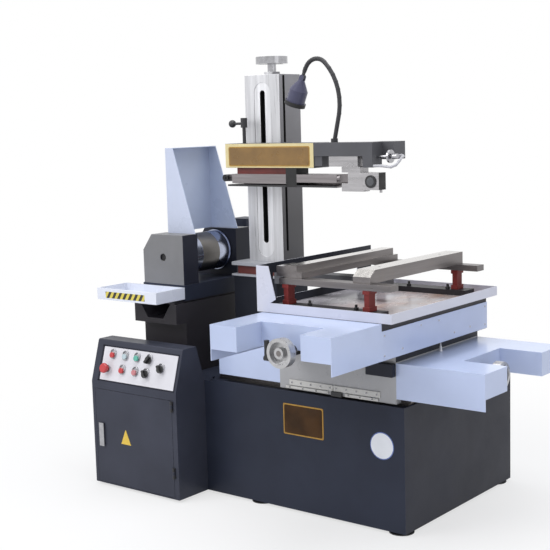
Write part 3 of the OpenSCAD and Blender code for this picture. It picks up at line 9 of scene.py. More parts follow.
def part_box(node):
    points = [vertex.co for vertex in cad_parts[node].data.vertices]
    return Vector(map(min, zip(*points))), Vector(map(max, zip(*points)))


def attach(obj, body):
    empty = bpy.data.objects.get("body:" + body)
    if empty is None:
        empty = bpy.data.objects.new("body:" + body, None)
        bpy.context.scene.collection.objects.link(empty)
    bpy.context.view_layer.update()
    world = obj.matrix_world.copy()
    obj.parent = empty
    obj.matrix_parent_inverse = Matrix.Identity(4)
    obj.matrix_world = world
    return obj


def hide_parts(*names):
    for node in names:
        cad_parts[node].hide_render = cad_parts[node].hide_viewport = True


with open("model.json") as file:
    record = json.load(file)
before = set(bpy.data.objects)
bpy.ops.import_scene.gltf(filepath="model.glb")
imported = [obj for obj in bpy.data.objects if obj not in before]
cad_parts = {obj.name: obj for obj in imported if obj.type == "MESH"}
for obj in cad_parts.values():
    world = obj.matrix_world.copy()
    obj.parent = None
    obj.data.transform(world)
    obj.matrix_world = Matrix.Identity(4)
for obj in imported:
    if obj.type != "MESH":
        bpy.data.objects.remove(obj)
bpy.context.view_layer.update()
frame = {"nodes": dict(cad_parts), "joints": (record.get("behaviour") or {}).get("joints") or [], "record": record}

MM = 0.001


# Materials

PAINT_EDGE, STEEL_EDGE = 0.0022, 0.0015     # radius of the lighter band along the edges, in metres: a painted highlight, on paint also rubbed paint
RUB_AND_LIGHT_START, RUB_AND_LIGHT_FULL = 0.02, 0.35          # how far the rounded normal turns from the true one
BUMP_DEPTH, STEEL_BUMP_DEPTH = 0.001, 0.0006
COAT_ROUGHNESS = 0.12


class Shader:
    """A node material under construction, with short calls for the nodes it uses."""

    def __init__(self, name):
        self.material = bpy.data.materials.new(name)
        self.material.use_nodes = True
        self.tree = self.material.node_tree
        self.tree.nodes.clear()
        output = self.tree.nodes.new("ShaderNodeOutputMaterial")
        self.bsdf = self.tree.nodes.new("ShaderNodeBsdfPrincipled")
        self.link(self.bsdf.outputs[0], output.inputs[0])
        self.place = self.tree.nodes.new("ShaderNodeTexCoord").outputs["Object"]

    def link(self, a, b):
        self.tree.links.new(a, b)

    def put(self, socket, value):
        """Feed a socket from another socket, a colour or a number."""
        if hasattr(value, "is_linked"):
            self.link(value, socket)
        elif isinstance(value, tuple):
            socket.default_value = (*value, 1.0)
        else:
            socket.default_value = value

    def put_named(self, **values):
        """Set the surface's own inputs, with an underscore for each space in their names."""
        for name, value in values.items():
            self.put(self.bsdf.inputs[name.replace("_", " ")], value)

    def scaled(self, x, y, z):
        """The place, stretched along each axis."""
        node = self.tree.nodes.new("ShaderNodeMapping")
        self.link(self.place, node.inputs["Vector"])
        node.inputs["Scale"].default_value = (x, y, z)
        return node.outputs[0]

    def coordinates(self):
        """The place as X, Y and Z."""
        node = self.tree.nodes.new("ShaderNodeSeparateXYZ")
        self.link(self.place, node.inputs[0])
        return node.outputs

    def noise(self, scale, detail=3.0, roughness=0.5, vector=None):
        node = self.tree.nodes.new("ShaderNodeTexNoise")
        node.inputs["Scale"].default_value = scale
        node.inputs["Detail"].default_value = detail
        node.inputs["Roughness"].default_value = roughness
        self.link(vector or self.place, node.inputs["Vector"])
        return node.outputs[0]

    def fit(self, value, a, b, low=0.0, high=1.0):
        """Map the range from a to b onto the one from low to high."""
        node = self.tree.nodes.new("ShaderNodeMapRange")
        self.put(node.inputs[0], value)
        for i, v in enumerate((a, b, low, high)):
            node.inputs[i + 1].default_value = v
        return node.outputs[0]

    def math(self, operation, a, b):
        node = self.tree.nodes.new("ShaderNodeMath")
        node.operation = operation
        self.put(node.inputs[0], a)
        self.put(node.inputs[1], b)
        return node.outputs[0]

    def mix(self, factor, a, b):
        node = self.tree.nodes.new("ShaderNodeMix")
        node.data_type = "RGBA"
        self.put(node.inputs[0], factor)
        self.put(node.inputs[6], a)
        self.put(node.inputs[7], b)
        return node.outputs[2]

    def bump(self, height, strength, distance=BUMP_DEPTH):
        node = self.tree.nodes.new("ShaderNodeBump")
        node.inputs["Strength"].default_value = strength
        node.inputs["Distance"].default_value = distance
        self.put(node.inputs["Height"], height)
        self.link(node.outputs[0], self.bsdf.inputs["Normal"])

    def edge(self, radius):
        """1 along edges, from the difference between the rounded and the true normal."""
        rounded = self.tree.nodes.new("ShaderNodeBevel")
        rounded.samples = 4
        rounded.inputs["Radius"].default_value = radius
        true = self.tree.nodes.new("ShaderNodeNewGeometry")
        dot = self.tree.nodes.new("ShaderNodeVectorMath")
        dot.operation = "DOT_PRODUCT"
        self.link(rounded.outputs[0], dot.inputs[0])
        self.link(true.outputs["Normal"], dot.inputs[1])
        return self.fit(self.math("SUBTRACT", 1.0, dot.outputs["Value"]), RUB_AND_LIGHT_START, RUB_AND_LIGHT_FULL)


def around(colour, down, up):
    """A darker and a lighter shade of a colour."""
    return tuple(c * (1.0 - down) for c in colour), tuple(min(1.0, c * (1.0 + up)) for c in colour)


def paint(name, colour, roughness, rubbed_and_lit_edge=None, rubbed_and_lit_edge_amount=0.5, coat=0.0, spread=0.12, shine=0.5,
          foot=None):
    """Machine enamel: slight cloudiness, orange peel, edges lighter in ragged patches that are partly rubbed paint
    and partly a painted highlight, and a darker foot if given.
    """
    shader = Shader(name)
    dark, light = around(colour, spread, spread)
    base = shader.mix(shader.fit(shader.noise(3.0, 4.0, 0.6), 0.35, 0.65), dark, light)
    speck = shader.fit(shader.noise(90.0, 2.0, 0.6), 0.66, 0.74, 0.0, 0.25)
    base = shader.mix(speck, base, dark)
    if foot:
        low, z0, z1 = foot
        base = shader.mix(shader.fit(shader.coordinates()[2], z0, z1), low, base)
    # lighter ragged patches along the edges: rubbed paint and a painted highlight
    if rubbed_and_lit_edge:
        ragged = shader.fit(shader.noise(60.0, 4.0, 0.7), 0.35, 0.65)
        rubbed_and_lit_band = shader.edge(PAINT_EDGE)
        mask = shader.math("MULTIPLY", rubbed_and_lit_band, shader.math("MULTIPLY", ragged, rubbed_and_lit_edge_amount))
        base = shader.mix(mask, base, rubbed_and_lit_edge)
    rough = shader.fit(shader.noise(7.0, 5.0, 0.6), 0.3, 0.7, roughness * 0.85, roughness * 1.2)
    shader.put_named(Base_Color=base, Roughness=rough, Specular_IOR_Level=shine, Coat_Weight=coat,
                     Coat_Roughness=COAT_ROUGHNESS)
    shader.bump(shader.noise(420.0, 2.0, 0.5), 0.02)
    return shader.material


def steel(name, colour, roughness, along=(1.0, 1.0, 1.0), metallic=1.0, grain=0.05, stain=None,
          stain_amount=0.4):
    """Ground or turned metal: fine lines along one direction, broad stains and slightly bright edges."""
    shader = Shader(name)
    lines = shader.noise(60.0, 4.0, 0.7, shader.scaled(*along))
    dark, light = around(colour, 0.2, 0.12)
    base = shader.mix(shader.fit(lines, 0.3, 0.7), dark, light)
    if stain:
        patch = shader.fit(shader.noise(9.0, 6.0, 0.7), 0.5, 0.72, 0.0, stain_amount)
        base = shader.mix(patch, base, stain)
    base = shader.mix(shader.math("MULTIPLY", shader.edge(STEEL_EDGE), 0.5), base, light)
    rough = shader.fit(lines, 0.3, 0.7, roughness * 0.8, roughness * 1.25)
    shader.put_named(Base_Color=base, Metallic=metallic, Roughness=rough)
    shader.bump(lines, grain, STEEL_BUMP_DEPTH)
    return shader.material


def plastic(name, colour, roughness, spread=0.08, coat=0.0, shine=0.5):
    """Moulded plastic or rubber with a fine texture."""
    shader = Shader(name)
    base = shader.mix(shader.fit(shader.noise(14.0, 4.0), 0.35, 0.65), *around(colour, spread, spread))
    rough = shader.fit(shader.noise(25.0, 3.0), 0.3, 0.7, roughness * 0.85, roughness * 1.2)
    shader.put_named(Base_Color=base, Roughness=rough, Coat_Weight=coat, Specular_IOR_Level=shine)
    shader.bump(shader.noise(300.0, 2.0, 0.5), 0.03)
    return shader.material


def stained_tray(name):
    """The tray's floor: pale enamel under brown traces of dried coolant, more of it on the right."""
    shader = Shader(name)
    towards_right = shader.fit(shader.coordinates()[0], 0.10, 0.45)
    blotch = shader.fit(shader.noise(8.0, 6.0, 0.65, shader.scaled(1.0, 0.5, 1.0)), 0.36, 0.62)
    fleck = shader.fit(shader.noise(26.0, 5.0, 0.7), 0.4, 0.6)
    rust = shader.mix(fleck, (0.42, 0.20, 0.11), (0.66, 0.46, 0.34))
    amount = shader.math("MULTIPLY", towards_right, shader.math("MULTIPLY", blotch, 0.85))
    shader.put_named(Base_Color=shader.mix(amount, (0.52, 0.50, 0.54), rust),
                     Roughness=shader.fit(blotch, 0.0, 1.0, 0.18, 0.34))
    shader.bump(shader.noise(120.0, 3.0, 0.6), 0.04)
    return shader.material


def stripes(name, period, first, second, slope=-0.62, start=10.0):
    """Slanting stripes in two colours, along the object's X; the start keeps the sum above zero."""
    shader = Shader(name)
    across, _, rise = shader.coordinates()
    slant = shader.math("ADD", across, shader.math("MULTIPLY", rise, slope))
    wave = shader.math("FRACT", shader.math("DIVIDE", shader.math("ADD", slant, start), period), 0.0)
    mask = shader.math("GREATER_THAN", wave, 0.5)
    faded = shader.mix(shader.fit(shader.noise(40.0, 4.0), 0.4, 0.7), first, tuple(c * 0.85 for c in first))
    shader.put_named(Base_Color=shader.mix(mask, faded, second),
                     Roughness=shader.fit(shader.noise(30.0), 0.3, 0.7, 0.35, 0.5))
    shader.bump(shader.noise(300.0), 0.02)
    return shader.material


# The finishes
tray_floor = stained_tray("tray_floor")
hazard = stripes("hazard_stripes", 0.0295, (0.72, 0.60, 0.10), (0.018, 0.018, 0.02))
navy = paint("navy_enamel", (0.028, 0.033, 0.052), 0.38, rubbed_and_lit_edge=(0.16, 0.17, 0.21), rubbed_and_lit_edge_amount=0.5,
             shine=0.16)
cabinet_paint = paint("cabinet_enamel", (0.046, 0.050, 0.070), 0.36, rubbed_and_lit_edge=(0.22, 0.23, 0.28),
                      rubbed_and_lit_edge_amount=0.6, shine=0.16)
dark_paint = paint("dark_enamel", (0.036, 0.033, 0.038), 0.42, rubbed_and_lit_edge=(0.14, 0.14, 0.16),
                   rubbed_and_lit_edge_amount=0.5, shine=0.2)
column_base_paint = paint("column_base_enamel", (0.018, 0.020, 0.028), 0.42,
                          rubbed_and_lit_edge=(0.14, 0.14, 0.17), rubbed_and_lit_edge_amount=0.5, shine=0.16)
head_paint = paint("head_enamel", (0.100, 0.101, 0.110), 0.42, rubbed_and_lit_edge=(0.25, 0.25, 0.26),
                   rubbed_and_lit_edge_amount=0.5, shine=0.25)
blue = paint("light_blue_enamel", (0.52, 0.60, 0.82), 0.22, rubbed_and_lit_edge=(0.72, 0.78, 0.95),
             rubbed_and_lit_edge_amount=0.6, coat=0.35, spread=0.04)
# A bluer copy of the hood's lavender for its inside: the blue of the shade in the hood, painted
painted_shade_in_hood = paint("painted_shade_in_hood_enamel", (0.58, 0.66, 0.84), 0.3, rubbed_and_lit_edge=(0.7, 0.75, 0.9),
                    rubbed_and_lit_edge_amount=0.5, coat=0.2, spread=0.05)
drip_paint = paint("drip_enamel", (0.74, 0.77, 0.86), 0.28, rubbed_and_lit_edge=(0.8, 0.82, 0.9), rubbed_and_lit_edge_amount=0.6,
                   coat=0.25, spread=0.04)
lavender = paint("lavender_enamel", (0.56, 0.61, 0.75), 0.28, rubbed_and_lit_edge=(0.8, 0.82, 0.95),
                 rubbed_and_lit_edge_amount=0.6, coat=0.25, spread=0.05)
tray_paint = paint("tray_enamel", (0.66, 0.67, 0.76), 0.30, rubbed_and_lit_edge=(0.8, 0.8, 0.86), rubbed_and_lit_edge_amount=0.6,
                   coat=0.2, spread=0.05)
casting = paint("casting_enamel", (0.40, 0.40, 0.41), 0.28, rubbed_and_lit_edge=(0.55, 0.55, 0.56),
                rubbed_and_lit_edge_amount=0.5, coat=0.3, spread=0.08)
housing_grey = paint("housing_enamel", (0.19, 0.19, 0.195), 0.45, rubbed_and_lit_edge=(0.38, 0.38, 0.38),
                     rubbed_and_lit_edge_amount=0.5, shine=0.3)
post_red = paint("post_enamel", (0.24, 0.036, 0.032), 0.5, rubbed_and_lit_edge=(0.2, 0.05, 0.04),
                 rubbed_and_lit_edge_amount=0.6, spread=0.2, shine=0.25)
lamp_blue = paint("lamp_enamel", (0.070, 0.071, 0.125), 0.35, rubbed_and_lit_edge=(0.2, 0.2, 0.3),
                  rubbed_and_lit_edge_amount=0.5, coat=0.15, shine=0.3)
ground = steel("ground_steel", (0.21, 0.195, 0.195), 0.34, (0.6, 0.05, 1.0), stain=(0.22, 0.19, 0.17))
ground_x = steel("ground_steel_x", (0.19, 0.178, 0.18), 0.34, (0.05, 0.6, 1.0), stain=(0.22, 0.19, 0.17))
column_inset = steel("column_inset", (0.80, 0.80, 0.82), 0.34, (1.0, 1.0, 0.04), metallic=0.35,
                     grain=0.02)
column_steel = steel("column_steel", (0.66, 0.66, 0.68), 0.32, (1.0, 1.0, 0.04), metallic=0.45,
                     grain=0.03)
beam_steel = steel("beam_steel", (0.26, 0.24, 0.245), 0.36, (0.05, 0.6, 1.0), metallic=0.7)
slide_steel = steel("slide_steel", (0.44, 0.43, 0.44), 0.28, (0.05, 1.0, 1.0), metallic=0.7, grain=0.015)
chrome = steel("chrome", (0.42, 0.42, 0.44), 0.18, (1.0, 1.0, 1.0), grain=0.01)
wheel_metal = steel("wheel_metal", (0.50, 0.50, 0.51), 0.30, (1.0, 1.0, 1.0), metallic=0.75, grain=0.02)
drum_steel = steel("drum_steel", (0.44, 0.48, 0.60), 0.2, (0.02, 1.0, 0.02), grain=0.02)
black_iron = paint("black_oxide", (0.022, 0.022, 0.025), 0.42, rubbed_and_lit_edge=(0.12, 0.12, 0.12), rubbed_and_lit_edge_amount=0.6)
black = plastic("black_plastic", (0.016, 0.016, 0.018), 0.35)
rubber = plastic("black_sleeve", (0.022, 0.022, 0.026), 0.5)
panel_white = plastic("panel_white", (0.70, 0.69, 0.73), 0.35, spread=0.03)
hose_white = plastic("hose_white", (0.50, 0.50, 0.53), 0.35, spread=0.06)
flange_grey = paint("flange_enamel", (0.40, 0.41, 0.44), 0.4, rubbed_and_lit_edge=(0.6, 0.6, 0.6), rubbed_and_lit_edge_amount=0.4)
neck_red = paint("neck_enamel", (0.16, 0.030, 0.025), 0.5, spread=0.3)
insulator_red = plastic("insulator_red", (0.16, 0.022, 0.018), 0.45, spread=0.25)
# Dark navy that paints shade: on sides turned from the light and in gaps under other parts
painted_shade_navy = paint("painted_shade_enamel", (0.020, 0.022, 0.034), 0.4, rubbed_and_lit_edge=(0.14, 0.14, 0.18),
                  rubbed_and_lit_edge_amount=0.4, shine=0.2)
# A darker copy of the column's grey for its sides and back, as painted shade; darker towards the bottom
column_painted_shade_grey = paint("column_painted_shade_grey_enamel", (0.290, 0.285, 0.300), 0.34, rubbed_and_lit_edge=(0.4, 0.4, 0.4),
                    rubbed_and_lit_edge_amount=0.4, shine=0.3, foot=((0.105, 0.103, 0.106), 1.05, 1.6))
dull_disc = plastic("cap_disc", (0.085, 0.088, 0.095), 0.4)
bezel_metal = steel("bezel_metal", (0.55, 0.55, 0.57), 0.3, metallic=0.6)
# Dark navy strips that paint the shade in the recess round the panel
recess_painted_shade_navy = paint("recess_painted_shade_enamel", (0.016, 0.017, 0.028), 0.4, shine=0.15)
# Black for the black parts, and painted shade in the column's slot and grooves and on the guide block's right side
black_and_painted_shade = plastic("black_and_painted_shade", (0.008, 0.008, 0.009), 0.6)
# A much lighter steel for the tops of the rails: painted light on the faces that look up, with stains
painted_light_on_rails = steel("painted_light_on_rails_steel", (0.66, 0.64, 0.62), 0.22, (0.6, 0.05, 1.0),
                 stain=(0.40, 0.36, 0.33), stain_amount=0.3)
winding = steel("wire_winding", (0.22, 0.21, 0.20), 0.34, (0.02, 14.0, 0.02), grain=0.25)
lens_glass = plastic("lens_glass", (0.22, 0.22, 0.23), 0.15, coat=0.6)
lamp_dome = plastic("indicator_dome", (0.42, 0.52, 0.56), 0.2, coat=0.6)
sign_cream = plastic("sign_cream", (0.74, 0.63, 0.33), 0.32, spread=0.05, coat=0.3)
sign_brown = plastic("sign_brown", (0.23, 0.125, 0.030), 0.30, spread=0.16, coat=0.3)
gold_line = steel("gold_edge", (0.42, 0.25, 0.07), 0.4)
plate_brown = plastic("plate_brown", (0.050, 0.022, 0.006), 0.55, spread=0.3, shine=0.2)
sticker_white = plastic("sticker_white", (0.80, 0.82, 0.86), 0.4, spread=0.03)
sticker_blue = plastic("sticker_blue", (0.10, 0.16, 0.42), 0.4)
patch_yellow = plastic("patch_yellow", (0.74, 0.50, 0.060), 0.4, spread=0.06)
strip_cream = paint("strip_steel", (0.62, 0.61, 0.58), 0.35, rubbed_and_lit_edge=(0.8, 0.8, 0.8), rubbed_and_lit_edge_amount=0.5)
oil_white = plastic("oil_cup_white", (0.80, 0.80, 0.82), 0.3)
red = plastic("red_plastic", (0.52, 0.030, 0.035), 0.28, coat=0.4)
pale_red = plastic("pale_red_plastic", (0.55, 0.20, 0.22), 0.28, coat=0.4)
green = plastic("green_plastic", (0.10, 0.42, 0.33), 0.28, coat=0.4)

# How wide the folds of the sheet covers are rounded, in millimetres
FOLD = 11.0

# Each node's finish, its slot in the record, and the width of its rounded edges in millimetres
LOOK = {
    "bed": (navy, "navy_paint", 2.0), "foot_pads": (black_iron, "black_iron", 0.8),
    "x_rails": (ground_x, "ground_steel", 0.8), "drum_pedestal": (dark_paint, "dark_paint", 2.0),
    "column_base": (column_base_paint, "navy_paint", 1.5), "column": (column_steel, "ground_steel", 1.5),
    "lower_arm": (head_paint, "dark_paint", 1.0), "cabinet_shell": (cabinet_paint, "navy_paint", 1.2),
    "control_panel": (panel_white, "white_panel", 0.5), "door_hinges": (black_iron, "black_iron", 0.4),
    "cabinet_door": (cabinet_paint, "navy_paint", 1.2), "door_lock": (chrome, "ground_steel", 0.8),
    "red_button": (red, "red_plastic", 1.2), "green_button": (green, "green_plastic", 1.2),
    "feed_button": (red, "red_plastic", 1.2), "pump_button": (pale_red, "red_plastic", 1.2),
    "estop_button": (red, "red_plastic", 1.5), "mode_selector": (black, "black_plastic", 0.8),
    "speed_selector": (black, "black_plastic", 0.8), "pump_selector": (black, "black_plastic", 0.8),
    "lower_wheel": (black, "black_plastic", 0.3), "column_handwheel": (chrome, "bright_chrome", 3.0),
    "lift_screw": (ground, "ground_steel", 0.3), "arm_saddle": (head_paint, "dark_paint", 1.5),
    "upper_beam": (beam_steel, "ground_steel", 0.8), "taper_box": (head_paint, "dark_paint", 1.2),
    "gooseneck": (rubber, "black_plastic", 0.3), "coolant_pipe": (hose_white, "white_panel", 0.2),
    "rear_wheel": (black, "black_plastic", 0.3), "clamp_lever": (black_iron, "black_iron", 0.6),
    "u_slide": (slide_steel, "ground_steel", 0.6), "v_slide": (slide_steel, "ground_steel", 1.0),
    "u_knob": (chrome, "bright_chrome", 1.0), "upper_wheel": (black, "black_plastic", 0.8),
    "lamp_head": (lamp_blue, "lamp_paint", 1.0), "middle_slide": (casting, "grey_paint", 2.5),
    "right_cover": (blue, "light_blue_paint", FOLD), "left_cover": (blue, "light_blue_paint", FOLD),
    "x_motor": (black_iron, "black_iron", 1.0), "x_handwheel": (wheel_metal, "bright_chrome", 1.2),
    "x_screw": (ground_x, "ground_steel", 0.3), "table_slide": (dark_paint, "dark_paint", 1.5),
    "side_plates": (blue, "light_blue_paint", 1.0), "front_cover": (blue, "light_blue_paint", FOLD),
    "y_motor": (black_iron, "black_iron", 1.0), "y_handwheel": (wheel_metal, "bright_chrome", 1.2),
    "y_screw": (ground, "ground_steel", 0.3), "y_crank": (black, "black_plastic", 1.0),
    "water_tray": (tray_paint, "tray_paint", 1.2), "work_posts": (post_red, "post_red", 1.2),
    "cross_bars": (ground_x, "ground_steel", 1.2), "left_rail": (ground, "ground_steel", 1.2),
    "right_rail": (ground, "ground_steel", 1.2), "carriage_base": (navy, "navy_paint", 1.5),
    "drip_tray": (drip_paint, "lavender_paint", 2.0), "front_housing": (housing_grey, "grey_paint", 1.5),
    "rear_housing": (housing_grey, "grey_paint", 1.5), "drum": (drum_steel, "ground_steel", 0.8),
    "drum_motor": (navy, "navy_paint", 0.5), "splash_hood": (lavender, "lavender_paint", 1.0),
}


# Pieces that stand for the CAD nodes

SHARP_ANGLE = math.radians(38.0)        # a steeper edge stays sharp in the shading
BEVEL_ANGLE = math.radians(30.0)        # a steeper edge is rounded
FLAT_ANGLE = math.radians(0.4)          # flatter neighbours are joined to one face
WELD_DISTANCE = 2e-6

# Nodes whose flat faces surround an opening in a way that one joined face can't
UNJOINED = ("bed", "x_motor", "y_motor", "work_posts")

bodies = frame["record"]["behaviour"]["bodies"]
BODY_OF = {node: body for body, members in bodies.items() for node in members}


def box(node):
    """A node's lowest and highest corners in millimetres."""
    return [tuple(round(v / MM, 2) for v in corner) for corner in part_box(node)]


def middle(node, axis):
    low, high = box(node)
    return (low[axis] + high[axis]) / 2


def pivot(joint):
    """The place about which a joint turns, in millimetres."""
    place = next(j["pos_m"] for j in frame["joints"] if j["name"] == joint)
    return Vector([v / MM for v in place])


X, Y, Z = range(3)
COLUMN_X = middle("column", X)
DRUM_AXIS = pivot("drum_turn")
CABINET_FRONT = box("cabinet_shell")[0][Y]

# The sloping panel: its lower left corner, its tilt from the vertical and the rim of its seat
PANEL_X, PANEL_Z = box("control_panel")[0][X], 427.0
PANEL_TILT = math.radians(16.7984)
SEAT_RIM = 10.0

# A face looks along an axis when its normal's share along it is over this
FACING = 0.7


def facing_down(centre, normal):
    return normal.z < -0.9


def on_slope(centre, low, high):
    """True where a place lies between two heights above the sloping panel."""
    forward, upward = CABINET_FRONT - centre.y, centre.z - PANEL_Z
    return low < forward * math.cos(PANEL_TILT) + upward * math.sin(PANEL_TILT) < high


def on_band(centre):
    """True on the wound band round the drum."""
    radius = math.hypot(centre.x - DRUM_AXIS.x, centre.z - DRUM_AXIS.z)
    return BAND_START < centre.y < BAND_END and radius > 79.0


# The folded covers: whether all their lowest edges are cut rims, and which faces are rims of the sheet
FOLDED = {
    "right_cover": (True, [facing_down, lambda c, n: n.x < -0.9 and c.x < 500.0]),
    "left_cover": (False, [facing_down]),
    "front_cover": (True, [facing_down, lambda c, n: n.y > 0.9 and c.y > -310.0]),
}

# Where the finish changes: the beam's insulating plate and spacer, and the drum's wound band
PLATE_END, SPACER_END, PLATE_HEIGHT = -109.5, -58.5, 1238.1
BAND_START, BAND_END = 18.5, 118.5

# Planes that divide a node's faces there: the axis and the place
CUTS = {
    "upper_beam": [(X, PLATE_END), (X, SPACER_END), (Z, PLATE_HEIGHT)],
    "drum": [(Y, BAND_START), (Y, BAND_END)],
}

# Faces that take another finish than the rest of their node: a test of centre and normal, and the finish
ZONES = {
    # the bed's right end, darker as painted shade
    "bed": [(lambda c, n: n.x > FACING and c.x > 500.0, painted_shade_navy)],
    # the inside of the hood, in the bluer painted shade
    "splash_hood": [(lambda c, n: n.x > FACING or (n.y < -FACING and c.y > 0.0), painted_shade_in_hood)],
    "column": [
        # the slot and the side grooves, black as painted shade, the sides and back in a darker grey as painted
        # shade, and the inset of the front
        (lambda c, n: abs(c.x - COLUMN_X) < 13.0 and 115.9 < c.y < 140.0, black_and_painted_shade),
        (lambda c, n: 134.0 < c.y < 149.0 and abs(c.x - COLUMN_X) > 77.0 and c.z < 1616.0, black_and_painted_shade),
        (lambda c, n: abs(n.x) > FACING or n.y > FACING, column_painted_shade_grey),
        (lambda c, n: n.y < -FACING and 113.8 < c.y < 134.0, column_inset)],
    "column_base": [
        # the two flanges, and the neck between them
        (lambda c, n: 829.0 < c.z < 838.5 or 871.5 < c.z < 886.5, flange_grey),
        (lambda c, n: 838.4 < c.z < 871.6, neck_red)],
    # the housings' right sides, and the rear housing's front, darker as painted shade
    "front_housing": [(lambda c, n: n.x > FACING, painted_shade_navy)],
    "rear_housing": [(lambda c, n: n.x > FACING or n.y < -FACING, painted_shade_navy)],
    "upper_beam": [
        # the insulating plate, the spacer, and the strip below the beam
        (lambda c, n: PLATE_HEIGHT + 0.2 < c.z < 1261.9 and c.x < PLATE_END + 0.5, insulator_red),
        (lambda c, n: PLATE_END - 0.5 < c.x < SPACER_END + 0.5 and c.z > 1198.0, black_and_painted_shade),
        (lambda c, n: c.z < 1198.0 and n.y < -0.5, black_iron)],
    # the upper band and top of the middle slide, dark as painted shade under the upper slide
    "middle_slide": [(lambda c, n: c.z > 612.5 or (n.z > FACING and c.z > 608.0), painted_shade_navy)],
    # the guide block's right side, black as painted shade
    "v_slide": [(lambda c, n: n.x > FACING and c.x > 312.0, black_and_painted_shade)],
    "drum": [
        # the centre of the front end, and the wound band
        (lambda c, n: c.y < -120.0 and abs(c.x - DRUM_AXIS.x) < 16.0, black_and_painted_shade),
        (lambda c, n: on_band(c), winding)],
    # the tops of the rails, lighter as painted light
    "left_rail": [(lambda c, n: n.z > FACING, painted_light_on_rails)],
    "right_rail": [(lambda c, n: n.z > 0.4, painted_light_on_rails)],
    "water_tray": [
        # the floor, and the left wall's inner side, dark as painted shade
        (lambda c, n: n.z > FACING and c.z < 780.0, tray_floor),
        (lambda c, n: n.x > FACING and c.x < 4.0, painted_shade_navy)],
    "control_panel": [
        # the signal lamp's dome, and the ring under it
        (lambda c, n: on_slope(c, 8.2, 14.0), lamp_dome),
        (lambda c, n: on_slope(c, 2.2, 8.3), chrome)],
}


def sharp_edges(bm):
    return [e for e in bm.edges if e.is_manifold and e.calc_face_angle(0.0) > BEVEL_ANGLE]


def shade(piece):
    """Smooth faces with sharp edges over the angle, and normals that keep the flat faces flat."""
    bm = bmesh.new()
    bm.from_mesh(piece.data)
    for face in bm.faces:
        face.smooth = True
    for edge in bm.edges:
        edge.smooth = not (edge.is_manifold and edge.calc_face_angle(0.0) > SHARP_ANGLE)
    bm.to_mesh(piece.data)
    bm.free()
    weighted = piece.modifiers.new("flat_faces", "WEIGHTED_NORMAL")
    weighted.keep_sharp = True
    weighted.weight = 80


def settle(name, bm, materials, body):
    """A piece from a bmesh, with its finishes, on its body."""
    mesh = bpy.data.meshes.new(name)
    bm.to_mesh(mesh)
    bm.free()
    piece = bpy.data.objects.new(name, mesh)
    bpy.context.scene.collection.objects.link(piece)
    for material in materials:
        mesh.materials.append(material)
    shade(piece)
    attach(piece, body)
    return piece


def welded(node):
    """The node's mesh as a bmesh with its seams closed and its flat faces joined."""
    source = frame["nodes"][node].data
    bm = bmesh.new()
    for v in source.vertices:
        bm.verts.new(v.co)
    bm.verts.ensure_lookup_table()
    for polygon in source.polygons:
        try:
            bm.faces.new([bm.verts[i] for i in polygon.vertices])
        except ValueError:      # the same face twice
            pass
    bmesh.ops.remove_doubles(bm, verts=bm.verts, dist=WELD_DISTANCE)
    if node not in UNJOINED:
        bmesh.ops.dissolve_limit(bm, angle_limit=FLAT_ANGLE, use_dissolve_boundaries=False,
                                 verts=bm.verts, edges=bm.edges)
    return bm


def round_edges(bm, node, width):
    """Round the edges; on folded sheet only its outer folds, because its cut rims stay sharp."""
    if node not in FOLDED:
        bmesh.ops.bevel(bm, geom=sharp_edges(bm), offset=width * MM, offset_type="OFFSET", segments=2,
                        profile=0.6, affect="EDGES", clamp_overlap=True, miter_outer="ARC")
        return
    cut_below, rims = FOLDED[node]
    rim_height = min(v.co.z for v in bm.verts) + 0.1 * MM
    folds = [e for e in sharp_edges(bm) if e.is_convex
             and not (cut_below and min(v.co.z for v in e.verts) < rim_height)
             and not any(rim(face.calc_center_median() / MM, face.normal)
                         for face in e.link_faces for rim in rims)]
    bmesh.ops.bevel(bm, geom=folds, offset=width * MM, offset_type="OFFSET", segments=6,
                    profile=0.5, affect="EDGES", clamp_overlap=True)


def dressed(node, width, material):
    """A copy of a CAD node with rounded edges and its zones of finish, which stands for the node."""
    bm = welded(node)
    round_edges(bm, node, width)
    for axis, place in CUTS.get(node, []):
        bmesh.ops.bisect_plane(bm, geom=bm.verts[:] + bm.edges[:] + bm.faces[:], dist=1e-7,
                               plane_co=[place * MM] * 3, plane_no=[float(axis == k) for k in range(3)])
    zones = ZONES.get(node, [])
    for face in bm.faces:
        centre = face.calc_center_median() / MM
        for k, (inside, _) in enumerate(zones):
            if inside(centre, face.normal):
                face.material_index = k + 1
                break
    finishes = [material] + [finish for _, finish in zones]
    piece = settle(node + "_finished", bm, finishes, BODY_OF[node])
    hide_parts(node)


for node, (material, slot, width) in LOOK.items():
    dressed(node, width, material)


# Small parts

FRONT, RIGHT, TOP, LEFT, BACKWARD = (0, -1, 0), (1, 0, 0), (0, 0, 1), (-1, 0, 0), (0, 1, 0)
CORNER_STEPS = 5


def prism(outline, depth, bevel=0.0):
    """A flat outline in millimetres, from z 0 to depth, with its edges rounded."""
    bm = bmesh.new()
    face = bm.faces.new([bm.verts.new((x * MM, y * MM, 0.0)) for x, y in outline])
    grown = bmesh.ops.extrude_face_region(bm, geom=[face])
    lifted = [v for v in grown["geom"] if isinstance(v, bmesh.types.BMVert)]
    bmesh.ops.translate(bm, vec=(0, 0, depth * MM), verts=lifted)
    bmesh.ops.recalc_face_normals(bm, faces=bm.faces)
    if bevel:
        bmesh.ops.bevel(bm, geom=sharp_edges(bm), offset=bevel * MM, offset_type="OFFSET", segments=2,
                        profile=0.5, affect="EDGES", clamp_overlap=True)
    return bm


